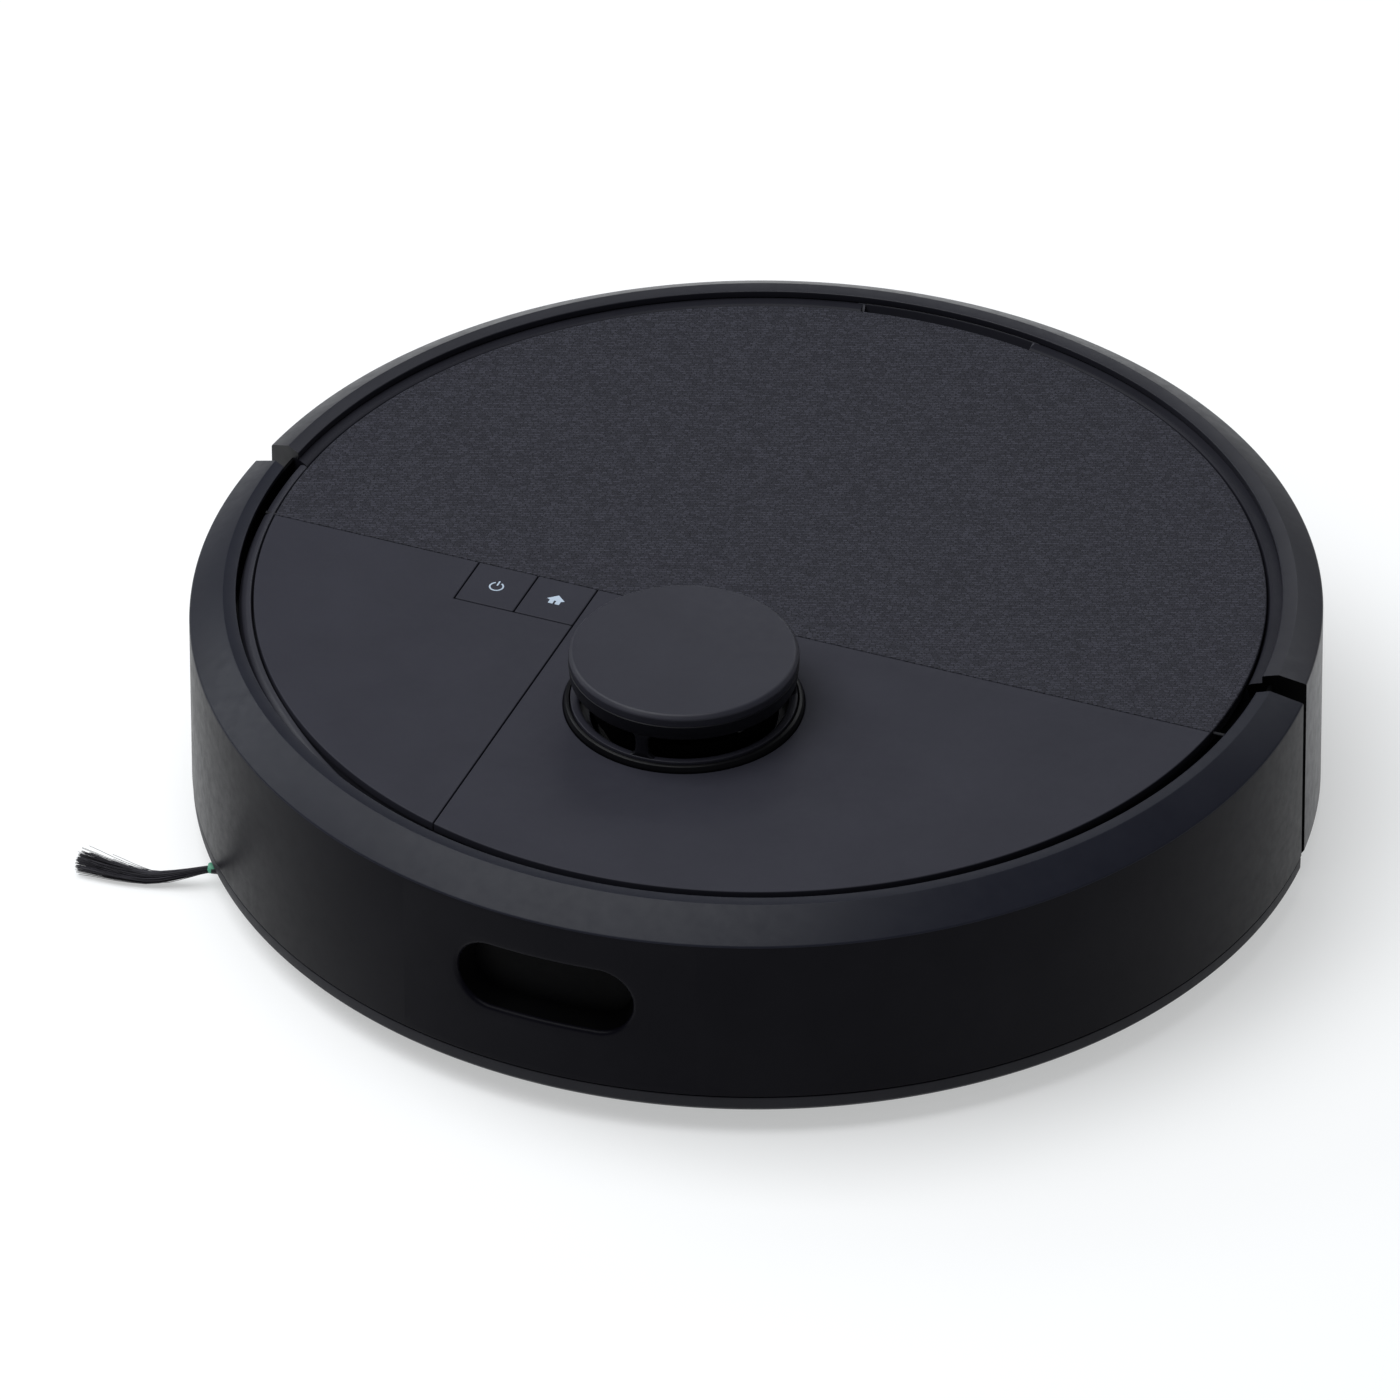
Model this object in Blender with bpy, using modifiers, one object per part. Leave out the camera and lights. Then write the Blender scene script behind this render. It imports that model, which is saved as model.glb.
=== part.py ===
"""Round robot vacuum cleaner. Metres, +Z up, front towards -Y, floor at Z = 0.

The robot's own left is +X. Lengths below are in millimetres and are scaled by MM.
"""

import math

import bmesh
import bpy
from mathutils import Matrix, Vector

MM = 0.001
GAP = 0.3

# Body outline
RING_R = 174.0
BUMPER_R = 175.5
BUMPER_Y = -2.5
BUMPER_WALL = 2.2
RIM_IN_R = 161.3
BUMPER_RIM_IN_R = 162.0
RIM_OUT_R = 165.9
RIM_Z = 78.5
RIM_T = 1.5
CHAMFER_SLOPE = 0.62
RING_CHAMFER_Z = 74.0
BODY_BOTTOM_Z = 9.0
LIP_SEAM_Z = 14.6
BUMPER_TRAVEL = 4.0
END_ANGLE = math.radians(30.0)
RING_END = (161.4, 14.3)
BUMPER_END = (163.1, 6.0)

# Lid disc
LID_R = 156.5
LID_Z = 76.5
PLATE_T = 3.0
NOSE_R = 1.5
LID_AXIS_Y = -15.0
SEAM_X = -47.3
BOUNDARY_Y = LID_AXIS_Y - NOSE_R
DECK_Z = 73.2
DECK_T = 2.6
DECK_REAR_R = 163.2
DECK_FRONT_R = 161.2

# Buttons
BUTTON_W = 19.4
BUTTON_L = 20.3
BUTTON_T = 2.0
SPLIT = 0.4

# Turret
TURRET_Y = -62.5
CAP_R = 35.5
CAP_TOP_Z = 96.5
CAP_SKIRT_Z = 87.8
LIP_Z = 79.0
BASE_R = 36.6
PILLAR_W = 4.4
ROTOR_R = 25.0
ROTOR_FACING = math.radians(17.0)
LENS_SPACING = 31.0
PULLEY_X = 45.0
PULLEY_R = 5.0

# Slot in the bumper
SLOT_W = 58.2
SLOT_H = 22.8
SLOT_Z = 45.6

# Running gear
PAN_Z = 9.5
PAN_T = 2.6
PAN_R = 163.0
WHEEL_R = 33.0
WHEEL_X = 117.0
WHEEL_W = 18.0
ARM_PIVOT = (-48.0, 34.0)
CASTER_Y = -124.0
CASTER_TRAIL = 7.0
CASTER_R = 10.5
BRUSH_Y = 23.5
BRUSH_Z = 20.5
BRUSH_R = 19.0
BRUSH_LEN = 164.0
SIDE_X = -104.0
SIDE_Y = -97.0
SIDE_ARM_R = 37.0
SIDE_TIP_R = 73.2
SIDE_ANGLE = math.radians(196.0)
FAN_X = 85.0
FAN_Y = 84.0
FAN_R = 30.0

# Dust bin
BIN_X0, BIN_X1 = -85.0, 45.0
BIN_Y0, BIN_Y1 = 50.5, 130.5
BIN_Z0, BIN_Z1 = 13.0, 66.0
BIN_WALL = 2.0

STEPS = 96

for old in list(bpy.data.objects):
    bpy.data.objects.remove(old, do_unlink=True)

PARTS = bpy.data.collections.new("robot_vacuum")
CUTTERS = bpy.data.collections.new("cutters")
for group in (PARTS, CUTTERS):
    bpy.context.scene.collection.children.link(group)
CUTTERS.hide_render = True


# ---------------------------------------------------------------- materials


def material(name, colour, roughness, metallic=0.0):
    mat = bpy.data.materials.get(name)
    if mat is None:
        mat = bpy.data.materials.new(name)
        mat.use_nodes = True
        shader = mat.node_tree.nodes["Principled BSDF"]
        shader.inputs["Base Color"].default_value = (*colour, 1.0)
        shader.inputs["Roughness"].default_value = roughness
        shader.inputs["Metallic"].default_value = metallic
        mat.diffuse_color = (*colour, 1.0)
    return mat


BLACK_PLASTIC = ("black_plastic", (0.018, 0.018, 0.021), 0.45, 0.0)
MATT_PLASTIC = ("matt_charcoal", (0.035, 0.034, 0.040), 0.55, 0.0)
WEAVE = ("woven_charcoal", (0.045, 0.044, 0.052), 0.65, 0.0)
SATIN = ("satin_charcoal", (0.040, 0.040, 0.048), 0.32, 0.0)
LIP_MAT = ("lip_charcoal", (0.060, 0.060, 0.068), 0.5, 0.0)
GLOSS = ("gloss_black", (0.008, 0.008, 0.010), 0.12, 0.0)
STEEL = ("steel", (0.55, 0.55, 0.56), 0.3, 1.0)
COPPER = ("contact_metal", (0.72, 0.66, 0.50), 0.3, 1.0)
RUBBER = ("rubber", (0.020, 0.020, 0.020), 0.85, 0.0)
GREY = ("grey_plastic", (0.16, 0.16, 0.17), 0.5, 0.0)
SMOKE = ("smoked_plastic", (0.05, 0.05, 0.06), 0.2, 0.0)
FILTER = ("filter_white", (0.80, 0.80, 0.78), 0.8, 0.0)
BOARD = ("board_green", (0.03, 0.17, 0.08), 0.5, 0.0)
BATTERY = ("battery_wrap", (0.05, 0.09, 0.20), 0.4, 0.0)
BRISTLE = ("bristle", (0.03, 0.03, 0.035), 0.6, 0.0)
BRUSH = ("brush_rubber", (0.35, 0.06, 0.03), 0.6, 0.0)
LENS = ("lens", (0.05, 0.02, 0.05), 0.05, 0.0)


# ---------------------------------------------------------------- helpers


def add(name, mesh, finish=None, at=(0, 0, 0)):
    obj = bpy.data.objects.new(name, mesh)
    obj.location = Vector(at) * MM
    if finish is None:
        CUTTERS.objects.link(obj)
        obj.hide_render = True
        obj.display_type = "WIRE"
    else:
        PARTS.objects.link(obj)
        mesh.materials.clear()
        mesh.materials.append(material(*finish))
    return obj


def from_bmesh(name, bm, finish=None, at=(0, 0, 0)):
    mesh = bpy.data.meshes.new(name)
    bmesh.ops.recalc_face_normals(bm, faces=bm.faces)
    bm.to_mesh(mesh)
    bm.free()
    return add(name, mesh, finish, at)


def box(name, low, high, finish=None, at=(0, 0, 0), turn=None, bevel=0.0):
    """A box between two corners, both given from `at`."""
    bm = bmesh.new()
    bmesh.ops.create_cube(bm, size=1.0)
    low, high = Vector(low), Vector(high)
    bmesh.ops.scale(bm, vec=(high - low) * MM, verts=bm.verts)
    bmesh.ops.translate(bm, vec=(low + high) / 2 * MM, verts=bm.verts)
    if turn is not None:
        bmesh.ops.transform(bm, matrix=turn, verts=bm.verts)
    obj = from_bmesh(name, bm, finish, at)
    if bevel:
        soft = obj.modifiers.new("Bevel", "BEVEL")
        soft.width = bevel * MM
        soft.segments = 1
        soft.limit_method = "ANGLE"
    return obj


def cylinder(name, radius, z0, z1, finish=None, at=(0, 0, 0), axis="Z", n=32, top=None):
    """A cylinder, or a cone with `top` as its far radius, from z0 to z1 along its axis."""
    bm = bmesh.new()
    bmesh.ops.create_cone(
        bm,
        cap_ends=True,
        segments=n,
        radius1=radius * MM,
        radius2=(radius if top is None else top) * MM,
        depth=abs(z1 - z0) * MM,
    )
    bmesh.ops.translate(bm, vec=(0, 0, (z0 + z1) / 2 * MM), verts=bm.verts)
    turn = {
        "Z": Matrix.Identity(4),
        "X": Matrix.Rotation(math.pi / 2, 4, "Y"),
        "Y": Matrix.Rotation(-math.pi / 2, 4, "X"),
    }[axis]
    bmesh.ops.transform(bm, matrix=turn, verts=bm.verts)
    obj = from_bmesh(name, bm, finish, at)
    smooth(obj)
    return obj


def smooth(obj, angle=32.0):
    obj.data.shade_smooth()
    obj.data.set_sharp_from_angle(angle=math.radians(angle))


def turned(name, profile, finish=None, at=(0, 0, 0), steps=STEPS, closed=True, axis="Z"):
    """A solid of revolution. The profile is (radius, height) points; open if it ends on the axis."""
    area = 0.0
    for (r0, z0), (r1, z1) in zip(profile, profile[1:] + profile[:1]):
        area += r0 * z1 - r1 * z0
    if area > 0:
        profile = profile[::-1]
    mesh = bpy.data.meshes.new(name)
    count = len(profile)
    edges = [(i, i + 1) for i in range(count - 1)]
    if closed:
        edges.append((count - 1, 0))
    mesh.from_pydata([(r * MM, 0.0, z * MM) for r, z in profile], edges, [])
    obj = add(name, mesh, finish, at)
    spin = obj.modifiers.new("Screw", "SCREW")
    spin.axis = "Z"
    spin.angle = 2 * math.pi
    spin.steps = steps
    spin.render_steps = steps
    spin.use_merge_vertices = True
    spin.merge_threshold = 0.00001
    spin.use_smooth_shade = True
    if axis == "X":
        obj.rotation_euler = (0, math.pi / 2, 0)
    return obj


def outline(name, loops, z0, z1, finish=None, at=(0, 0, 0), turn=None):
    """A flat outline with any holes, extruded from z0 to z1, and then turned."""
    curve = bpy.data.curves.new(name, "CURVE")
    curve.dimensions = "2D"
    curve.fill_mode = "BOTH"
    curve.extrude = abs(z1 - z0) / 2 * MM
    for loop in loops:
        spline = curve.splines.new("POLY")
        spline.points.add(len(loop) - 1)
        for point, (x, y) in zip(spline.points, loop):
            point.co = (x * MM, y * MM, 0, 1)
        spline.use_cyclic_u = True
    guide = bpy.data.objects.new(name + "_outline", curve)
    CUTTERS.objects.link(guide)
    graph = bpy.context.evaluated_depsgraph_get()
    mesh = bpy.data.meshes.new_from_object(guide.evaluated_get(graph))
    bm = bmesh.new()
    bm.from_mesh(mesh)
    bmesh.ops.remove_doubles(bm, verts=bm.verts, dist=0.000001)
    bmesh.ops.translate(bm, vec=(0, 0, (z0 + z1) / 2 * MM), verts=bm.verts)
    if turn is not None:
        bmesh.ops.transform(bm, matrix=turn, verts=bm.verts)
    bpy.data.objects.remove(guide, do_unlink=True)
    bpy.data.curves.remove(curve)
    bpy.data.meshes.remove(mesh)
    obj = from_bmesh(name, bm, finish, at)
    smooth(obj)
    return obj


def join(obj, *others, operation="UNION"):
    for other in others:
        step = obj.modifiers.new(operation.title(), "BOOLEAN")
        step.operation = operation
        step.solver = "EXACT"
        step.object = other
    return obj


def cut(obj, *cutters):
    return join(obj, *cutters, operation="DIFFERENCE")


def keep(obj, *others):
    return join(obj, *others, operation="INTERSECT")


def tidy(obj, angle=32.0):
    """Applies an object's modifiers, so that it can be shaded and cut again."""
    graph = bpy.context.evaluated_depsgraph_get()
    mesh = bpy.data.meshes.new_from_object(obj.evaluated_get(graph))
    obj.modifiers.clear()
    old = obj.data
    obj.data = mesh
    mesh.name = obj.name
    bpy.data.meshes.remove(old)
    smooth(obj, angle)
    return obj


def arc(radius, start, end, count, centre=(0.0, 0.0)):
    """Points on an arc, in degrees, both ends included."""
    return [
        (
            centre[0] + radius * math.cos(math.radians(start + (end - start) * i / (count - 1))),
            centre[1] + radius * math.sin(math.radians(start + (end - start) * i / (count - 1))),
        )
        for i in range(count)
    ]


def circle(radius, count, centre=(0.0, 0.0)):
    return arc(radius, 0, 360 - 360 / count, count, centre)


def tube(name, points, radius, finish=None, at=(0, 0, 0), sides=1):
    curve = bpy.data.curves.new(name, "CURVE")
    curve.dimensions = "3D"
    curve.bevel_depth = radius * MM
    curve.bevel_resolution = sides
    curve.use_fill_caps = True
    spline = curve.splines.new("POLY")
    spline.points.add(len(points) - 1)
    for point, (x, y, z) in zip(spline.points, points):
        point.co = (x * MM, y * MM, z * MM, 1)
    obj = bpy.data.objects.new(name, curve)
    obj.location = Vector(at) * MM
    PARTS.objects.link(obj)
    curve.materials.append(material(*finish))
    return obj


def helix(radius, z0, z1, turns, per_turn=10):
    """A coil along Z whose first and last turns lie flat."""
    count = int(turns * per_turn)
    points = []
    for i in range(count + 1):
        t = i / count
        angle = 2 * math.pi * turns * t
        points.append((radius * math.cos(angle), radius * math.sin(angle), z0 + (z1 - z0) * t))
    return points


def rotated(point, degrees):
    a = math.radians(degrees)
    return (
        point[0] * math.cos(a) - point[1] * math.sin(a),
        point[0] * math.sin(a) + point[1] * math.cos(a),
    )


# ---------------------------------------------------------------- chassis pan

pan = turned(
    "chassis_pan",
    [(0, PAN_Z), (PAN_R - 2, PAN_Z), (PAN_R, PAN_Z + 2), (PAN_R, 58), (PAN_R - 2.4, 58), (PAN_R - 2.4, PAN_Z + PAN_T), (0, PAN_Z + PAN_T)],
    MATT_PLASTIC,
    closed=False,
)
caster_cup = cylinder("caster_cup", 22.5, PAN_Z + 0.5, 28.5, at=(0, CASTER_Y, 0), n=40)
caster_well = cylinder("caster_well", 20.2, 0, 24.6, at=(0, CASTER_Y, 0), n=40)
caster_bush = cylinder("caster_bush", 4.3, 20, 30, at=(0, CASTER_Y, 0), n=20)
join(pan, caster_cup)
cut(pan, caster_well, caster_bush)
for side, sx in (("left", 1), ("right", -1)):
    post = box("post_" + side, (0, -6, PAN_Z + 1), (7, 6, 44), at=(84 if sx > 0 else -91, ARM_PIVOT[0], 0))
    join(pan, post)
    hole = cylinder("pivot_hole_" + side, 3.4, -20, 20, at=(sx * 88, *ARM_PIVOT), axis="X", n=20)
    well = box("wheel_well_" + side, (-18.5, -57, 0), (18.5, 40, 30), at=(sx * 111.5, 0, 0))
    cut(pan, hole, well)
exhaust_port = box("exhaust_port", (-20, -20, 33), (20, 20, 50), at=(117, 111.5, 0), turn=Matrix.Rotation(math.radians(-46.4), 4, "Z"))
cut(pan, exhaust_port)
mouth = box("brush_mouth", (-88, 2, 0), (88, 45, 30))
side_hole = cylinder("side_hole", 8, 0, 30, at=(SIDE_X, SIDE_Y, 0), n=24)
battery_hole = box("battery_hole", (-45.5, -97.5, 0), (45.5, -12.5, 30))
cut(pan, mouth, side_hole, battery_hole)
for side, sx in (("left", 1), ("right", -1)):
    cut(
        pan,
        box("cliff_hole_" + side, (-13, -5, 0), (13, 5, 20), at=(sx * 62, -138, 0)),
        box("contact_hole_" + side, (-16, -7, 0), (16, 7, 20), at=(sx * 30, 143, 0)),
    )
tidy(pan)

# ---------------------------------------------------------------- upper deck with the trough

deck = turned(
    "upper_deck",
    [
        (0, DECK_Z),
        (157.0, DECK_Z),
        (157.0, 76.1),
        (159.0, 75.5),
        (160.5, 75.9),
        (DECK_FRONT_R, 75.9),
        (DECK_FRONT_R, 60.0),
        (158.8, 60.0),
        (158.8, DECK_Z - DECK_T),
        (0, DECK_Z - DECK_T),
    ],
    SATIN,
    closed=False,
)
bin_bay = box("bin_bay", (BIN_X0 - 2, BIN_Y0 - 2, 60), (BIN_X1 + 2, BIN_Y1 + 2, 80))
turret_well = cylinder("turret_well", 28.9, 60, 80, at=(0, TURRET_Y, 0), n=48)
pulley_well = box("pulley_well", (37, -8, 60), (53, 8, 80), at=(0, TURRET_Y, 0))
rear_skirt = turned("rear_skirt", [(160.0, 75.7), (DECK_REAR_R - 0.3, 75.7), (DECK_REAR_R - 0.3, 60.2), (160.0, 60.2)], steps=145)
keep(rear_skirt, box("rear_skirt_zone", (-200, 17.8, 40), (200, 200, 90)))
scoop_tray = turned("scoop_tray", [(145.5, 71.5), (DECK_REAR_R - 0.4, 71.5), (DECK_REAR_R - 0.4, 65.0), (145.5, 65.0)], steps=131)
keep(scoop_tray, box("scoop_tray_zone", (-31, 100, 40), (31, 200, 90)))
finger_scoop = turned("finger_scoop", [(147.5, 80), (161.4, 80), (161.4, 67.2), (147.5, 67.2)], steps=121)
keep(finger_scoop, box("finger_scoop_zone", (-29, 100, 40), (29, 200, 90)))
join(deck, rear_skirt, scoop_tray)
cut(deck, bin_bay, turret_well, pulley_well, finger_scoop)
for name, x in (("pin_seat_left", 1), ("pin_seat_right", -1)):
    cut(deck, cylinder(name, 0.85, -3.7, 3.7, at=(x * 156.0, LID_AXIS_Y, LID_Z - NOSE_R), axis="X", n=12))
tidy(deck)

# ---------------------------------------------------------------- rear shell


def end_plane(point, side):
    """A big block on the front side of the diagonal end plane through `point`, for one side."""
    turn = Matrix.Rotation(side * END_ANGLE, 4, "Z")
    if side > 0:
        return box("end_cut", (-60, -400, -20), (120, 0, 120), at=(point[0], point[1], 0), turn=turn)
    return box("end_cut", (-120, -400, -20), (60, 0, 120), at=(-point[0], point[1], 0), turn=turn)


ring_profile = [
    (RIM_IN_R, RIM_Z),
    (RIM_OUT_R, RIM_Z),
    (RING_R, RING_CHAMFER_Z),
    (RING_R, BODY_BOTTOM_Z + 2),
    (RING_R - 1.5, BODY_BOTTOM_Z),
    (PAN_R + 0.6, BODY_BOTTOM_Z + 0.3),
    (PAN_R + 0.6, BODY_BOTTOM_Z + 2.3),
    (RING_R - 2.4, BODY_BOTTOM_Z + 2.5),
    (RING_R - 2.4, RING_CHAMFER_Z - 1.4),
    (RIM_OUT_R - 0.4, RIM_Z - 2.2),
    (RIM_IN_R, RIM_Z - 2.2),
]
rear = turned("rear_shell", ring_profile, MATT_PLASTIC)
fill = turned(
    "ring_fill",
    [
        (RIM_IN_R + 0.4, RIM_Z - 1.0),
        (RIM_OUT_R, RIM_Z - 1.0),
        (RING_R - 1.2, RING_CHAMFER_Z - 0.4),
        (RING_R - 1.2, BODY_BOTTOM_Z + 1),
        (PAN_R + 0.8, BODY_BOTTOM_Z + 1),
        (PAN_R + 0.8, 73.4),
        (RIM_IN_R + 0.4, 76.4),
    ],
)
ends = box("ring_ends", (-200, -30, 0), (200, 60, 100))
keep(fill, ends)
for side in (1, -1):
    inner = end_plane((RING_END[0], RING_END[1] + 2.6), side)
    inner.name = "ring_end_inner"
    # The rib keeps only the first 2.2 mm behind each end plane.
    block = box(
        "rib_back",
        (-60, 0, -20) if side > 0 else (-120, 0, -20),
        (120, 300, 120) if side > 0 else (60, 300, 120),
        at=(side * RING_END[0], RING_END[1] + 2.6, 0),
        turn=Matrix.Rotation(side * END_ANGLE, 4, "Z"),
    )
    cut(fill, block)
join(rear, fill)
front_half = box("ring_front", (-300, -300, -20), (300, -10, 120))
cut(rear, front_half)
for side in (1, -1):
    cut(rear, end_plane(RING_END, side))
grille_hole = box("grille_hole", (-24, -12, 30), (24, 12, 52), at=(124, 118, 0), turn=Matrix.Rotation(math.radians(-46.4), 4, "Z"))
cut(rear, grille_hole)
tidy(rear)

grille = box("exhaust_grille", (-23.4, -4.6, 30.6), (23.4, -2.4, 51.4), GREY, at=(124, 118, 0), turn=Matrix.Rotation(math.radians(-46.4), 4, "Z"))
grille.location = Vector((124 * MM, 118 * MM, 0))
for i in range(6):
    x = -19.5 + 7.8 * i
    cut(grille, box("grille_slot", (x - 1.6, -20, 33.5), (x + 1.6, 20, 48.5), at=(124, 118, 0), turn=Matrix.Rotation(math.radians(-46.4), 4, "Z")))
tidy(grille)

# ---------------------------------------------------------------- bumper


def bumper_reach(angle, radius):
    """Distance from the robot's centre to a circle of this radius about the bumper's own centre."""
    s = math.cos(angle)
    c = -BUMPER_Y
    return c * s + math.sqrt(radius * radius - c * c * (1 - s * s))


def swept(name, section, finish, start=-108.0, end=108.0, count=73):
    """A loft whose section changes with the angle from straight ahead. section(angle) gives (r, z) points."""
    bm = bmesh.new()
    rings = []
    for i in range(count):
        a = math.radians(start + (end - start) * i / (count - 1))
        rings.append([bm.verts.new((r * math.sin(a) * MM, -r * math.cos(a) * MM, z * MM)) for r, z in section(a)])
    for one, two in zip(rings, rings[1:]):
        for j in range(len(one)):
            k = (j + 1) % len(one)
            bm.faces.new((one[j], one[k], two[k], two[j]))
    bm.faces.new(rings[0])
    bm.faces.new(rings[-1][::-1])
    obj = from_bmesh(name, bm, finish)
    smooth(obj, 28)
    return obj


def shell_section(a):
    out = bumper_reach(a, BUMPER_R)
    inn = bumper_reach(a, BUMPER_R - BUMPER_WALL)
    drop = CHAMFER_SLOPE * (out - RIM_OUT_R)
    return [
        (BUMPER_RIM_IN_R, RIM_Z),
        (RIM_OUT_R, RIM_Z),
        (out, RIM_Z - drop),
        (out, LIP_SEAM_Z + 0.15),
        (inn, LIP_SEAM_Z + 0.15),
        (inn, RIM_Z - drop - 1.3),
        (RIM_OUT_R - 0.4, RIM_Z - RIM_T),
        (BUMPER_RIM_IN_R, RIM_Z - RIM_T),
    ]


def lip_section(a):
    out = bumper_reach(a, BUMPER_R)
    return [
        (out, LIP_SEAM_Z - 0.15),
        (out - 0.2, BODY_BOTTOM_Z + 1.2),
        (out - 1.2, BODY_BOTTOM_Z),
        (out - 3.2, BODY_BOTTOM_Z),
        (out - BUMPER_WALL, LIP_SEAM_Z - 0.15),
    ]


def behind_bumper(side):
    turn = Matrix.Rotation(side * END_ANGLE, 4, "Z")
    low = (-60, 0, -20) if side > 0 else (-120, 0, -20)
    high = (120, 300, 120) if side > 0 else (60, 300, 120)
    return box("bumper_end", low, high, at=(side * BUMPER_END[0], BUMPER_END[1], 0), turn=turn)


def stadium(width, height, count=13):
    r = height / 2
    half = width / 2 - r
    return arc(r, -90, 90, count, (half, 0)) + arc(r, 90, 270, count, (-half, 0))


FACE_FRONT = Matrix.Rotation(math.pi / 2, 4, "X")

shell = swept("bumper_shell", shell_section, MATT_PLASTIC)
lip = swept("bumper_lip", lip_section, LIP_MAT)
for side in (1, -1):
    cut(shell, behind_bumper(side))
    cut(lip, behind_bumper(side))
slot = outline("slot_cut", [stadium(SLOT_W, SLOT_H)], 150, 200, at=(0, 0, SLOT_Z), turn=FACE_FRONT)
cut(shell, slot)
tidy(shell, 28)
tidy(lip, 28)

window = swept(
    "dock_window",
    lambda a: [
        (bumper_reach(a, BUMPER_R - BUMPER_WALL - 0.4), SLOT_Z + 14),
        (bumper_reach(a, BUMPER_R - BUMPER_WALL - 0.4), SLOT_Z - 14),
        (bumper_reach(a, BUMPER_R - BUMPER_WALL - 2.4), SLOT_Z - 14),
        (bumper_reach(a, BUMPER_R - BUMPER_WALL - 2.4), SLOT_Z + 14),
    ],
    GLOSS,
    start=-11.5,
    end=11.5,
    count=7,
)

for side, sx in (("left", 1), ("right", -1)):
    spring = tube("bumper_spring_" + side, helix(3.2, 140.9, 148.4, 3.5, 8), 0.45, STEEL, at=(sx * 88.0, 0, 46))
    spring.rotation_euler = (math.pi / 2, 0, 0)

# ---------------------------------------------------------------- panels, lid and buttons

top_y = BOUNDARY_Y - 0.3
seam_l = SEAM_X - SPLIT / 2
seam_r = SEAM_X + SPLIT / 2


def on_disc_x(x, radius=LID_R):
    return -math.sqrt(radius * radius - x * x)


def on_disc_y(y, radius=LID_R):
    return math.sqrt(radius * radius - y * y)


def angle_of(point):
    return math.degrees(math.atan2(point[1], point[0])) % 360


right_start = angle_of((-on_disc_y(top_y), top_y))
right_end = angle_of((seam_l, on_disc_x(seam_l)))
b_left = seam_l - 2 * BUTTON_W - 2 * SPLIT
b_front = top_y - BUTTON_L - SPLIT
right_panel = outline(
    "front_panel_right",
    [arc(LID_R, right_start, right_end, 28) + [(seam_l, b_front), (b_left, b_front), (b_left, top_y)]],
    LID_Z - PLATE_T,
    LID_Z,
    MATT_PLASTIC,
)
left_start = angle_of((seam_r, on_disc_x(seam_r)))
left_end = angle_of((on_disc_y(top_y), top_y))
left_panel = outline(
    "front_panel_left",
    [arc(LID_R, left_start, left_end, 40) + [(seam_r, top_y)], circle(37.2, 48, (0, TURRET_Y))],
    LID_Z - PLATE_T,
    LID_Z,
    MATT_PLASTIC,
)
for index, name in enumerate(("power_button", "home_button")):
    x0 = b_left + SPLIT + index * (BUTTON_W + SPLIT)
    box(
        name,
        (0, 0, -BUTTON_T + 0.3),
        (BUTTON_W, BUTTON_L, 0.3),
        MATT_PLASTIC,
        at=(x0, b_front + SPLIT, LID_Z - 0.3),
        bevel=0.15,
    )

lid_y = LID_AXIS_Y
lid_edge_y = lid_y + 0.8
lid_start = angle_of((on_disc_y(lid_edge_y), lid_edge_y)) - 360
lid_disc = arc(LID_R, lid_start, 180 - lid_start, 64)
lid = outline("rear_lid", [lid_disc], LID_Z - PLATE_T, LID_Z, WEAVE)
nose = cylinder("lid_nose", NOSE_R, -154.4, 154.4, at=(0, lid_y, LID_Z - NOSE_R), axis="X", n=20)
join(lid, nose)
for sx in (1, -1):
    cut(lid, cylinder("lid_pin_hole", 0.85, -5, 8, at=(sx * 152.0, lid_y, LID_Z - NOSE_R), axis="X", n=12))
cut(lid, box("lid_finger_relief", (-27, 148.5, 70), (27, 160, 75.1)))
tidy(lid)
for side, sx in (("left", 1), ("right", -1)):
    x0, x1 = (148.0, 159.4) if sx > 0 else (-159.4, -148.0)
    cylinder("lid_hinge_pin_" + side, 0.6, x0, x1, STEEL, at=(0, lid_y, LID_Z - NOSE_R), axis="X", n=12)

# ---------------------------------------------------------------- turret

turned(
    "turret_base_ring",
    [(37.0, 73.6), (37.0, 76.6), (BASE_R, 78.2), (BASE_R - 1.0, 78.6), (35.2, 78.6), (35.2, 73.6)],
    GLOSS,
    at=(0, TURRET_Y, 0),
    steps=64,
)
cage = turned(
    "turret_cage",
    [
        (0, CAP_TOP_Z),
        (CAP_R - 2.6, CAP_TOP_Z),
        (CAP_R - 1.2, CAP_TOP_Z - 0.5),
        (CAP_R - 0.3, CAP_TOP_Z - 1.5),
        (CAP_R, CAP_TOP_Z - 2.8),
        (CAP_R - 0.8, CAP_SKIRT_Z),
        (CAP_R - 3.2, CAP_SKIRT_Z),
        (CAP_R - 2.8, CAP_TOP_Z - 2.2),
        (0, CAP_TOP_Z - 2.2),
    ],
    GLOSS,
    at=(0, TURRET_Y, 0),
    steps=64,
    closed=False,
)
cage_foot = turned("cage_foot", [(34.9, 73.6), (34.9, LIP_Z), (32.2, LIP_Z - 0.3), (32.2, 73.6)], at=(0, TURRET_Y, 0), steps=64)
join(cage, cage_foot)
for i in range(3):
    a = math.radians(-90 + 120 * i)
    turn = Matrix.Rotation(a, 4, "Z")
    join(cage, box("pillar", (32.4, -PILLAR_W / 2, 74.5), (34.6, PILLAR_W / 2, CAP_SKIRT_Z + 3), at=(0, TURRET_Y, 0), turn=turn))
tidy(cage)

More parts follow.
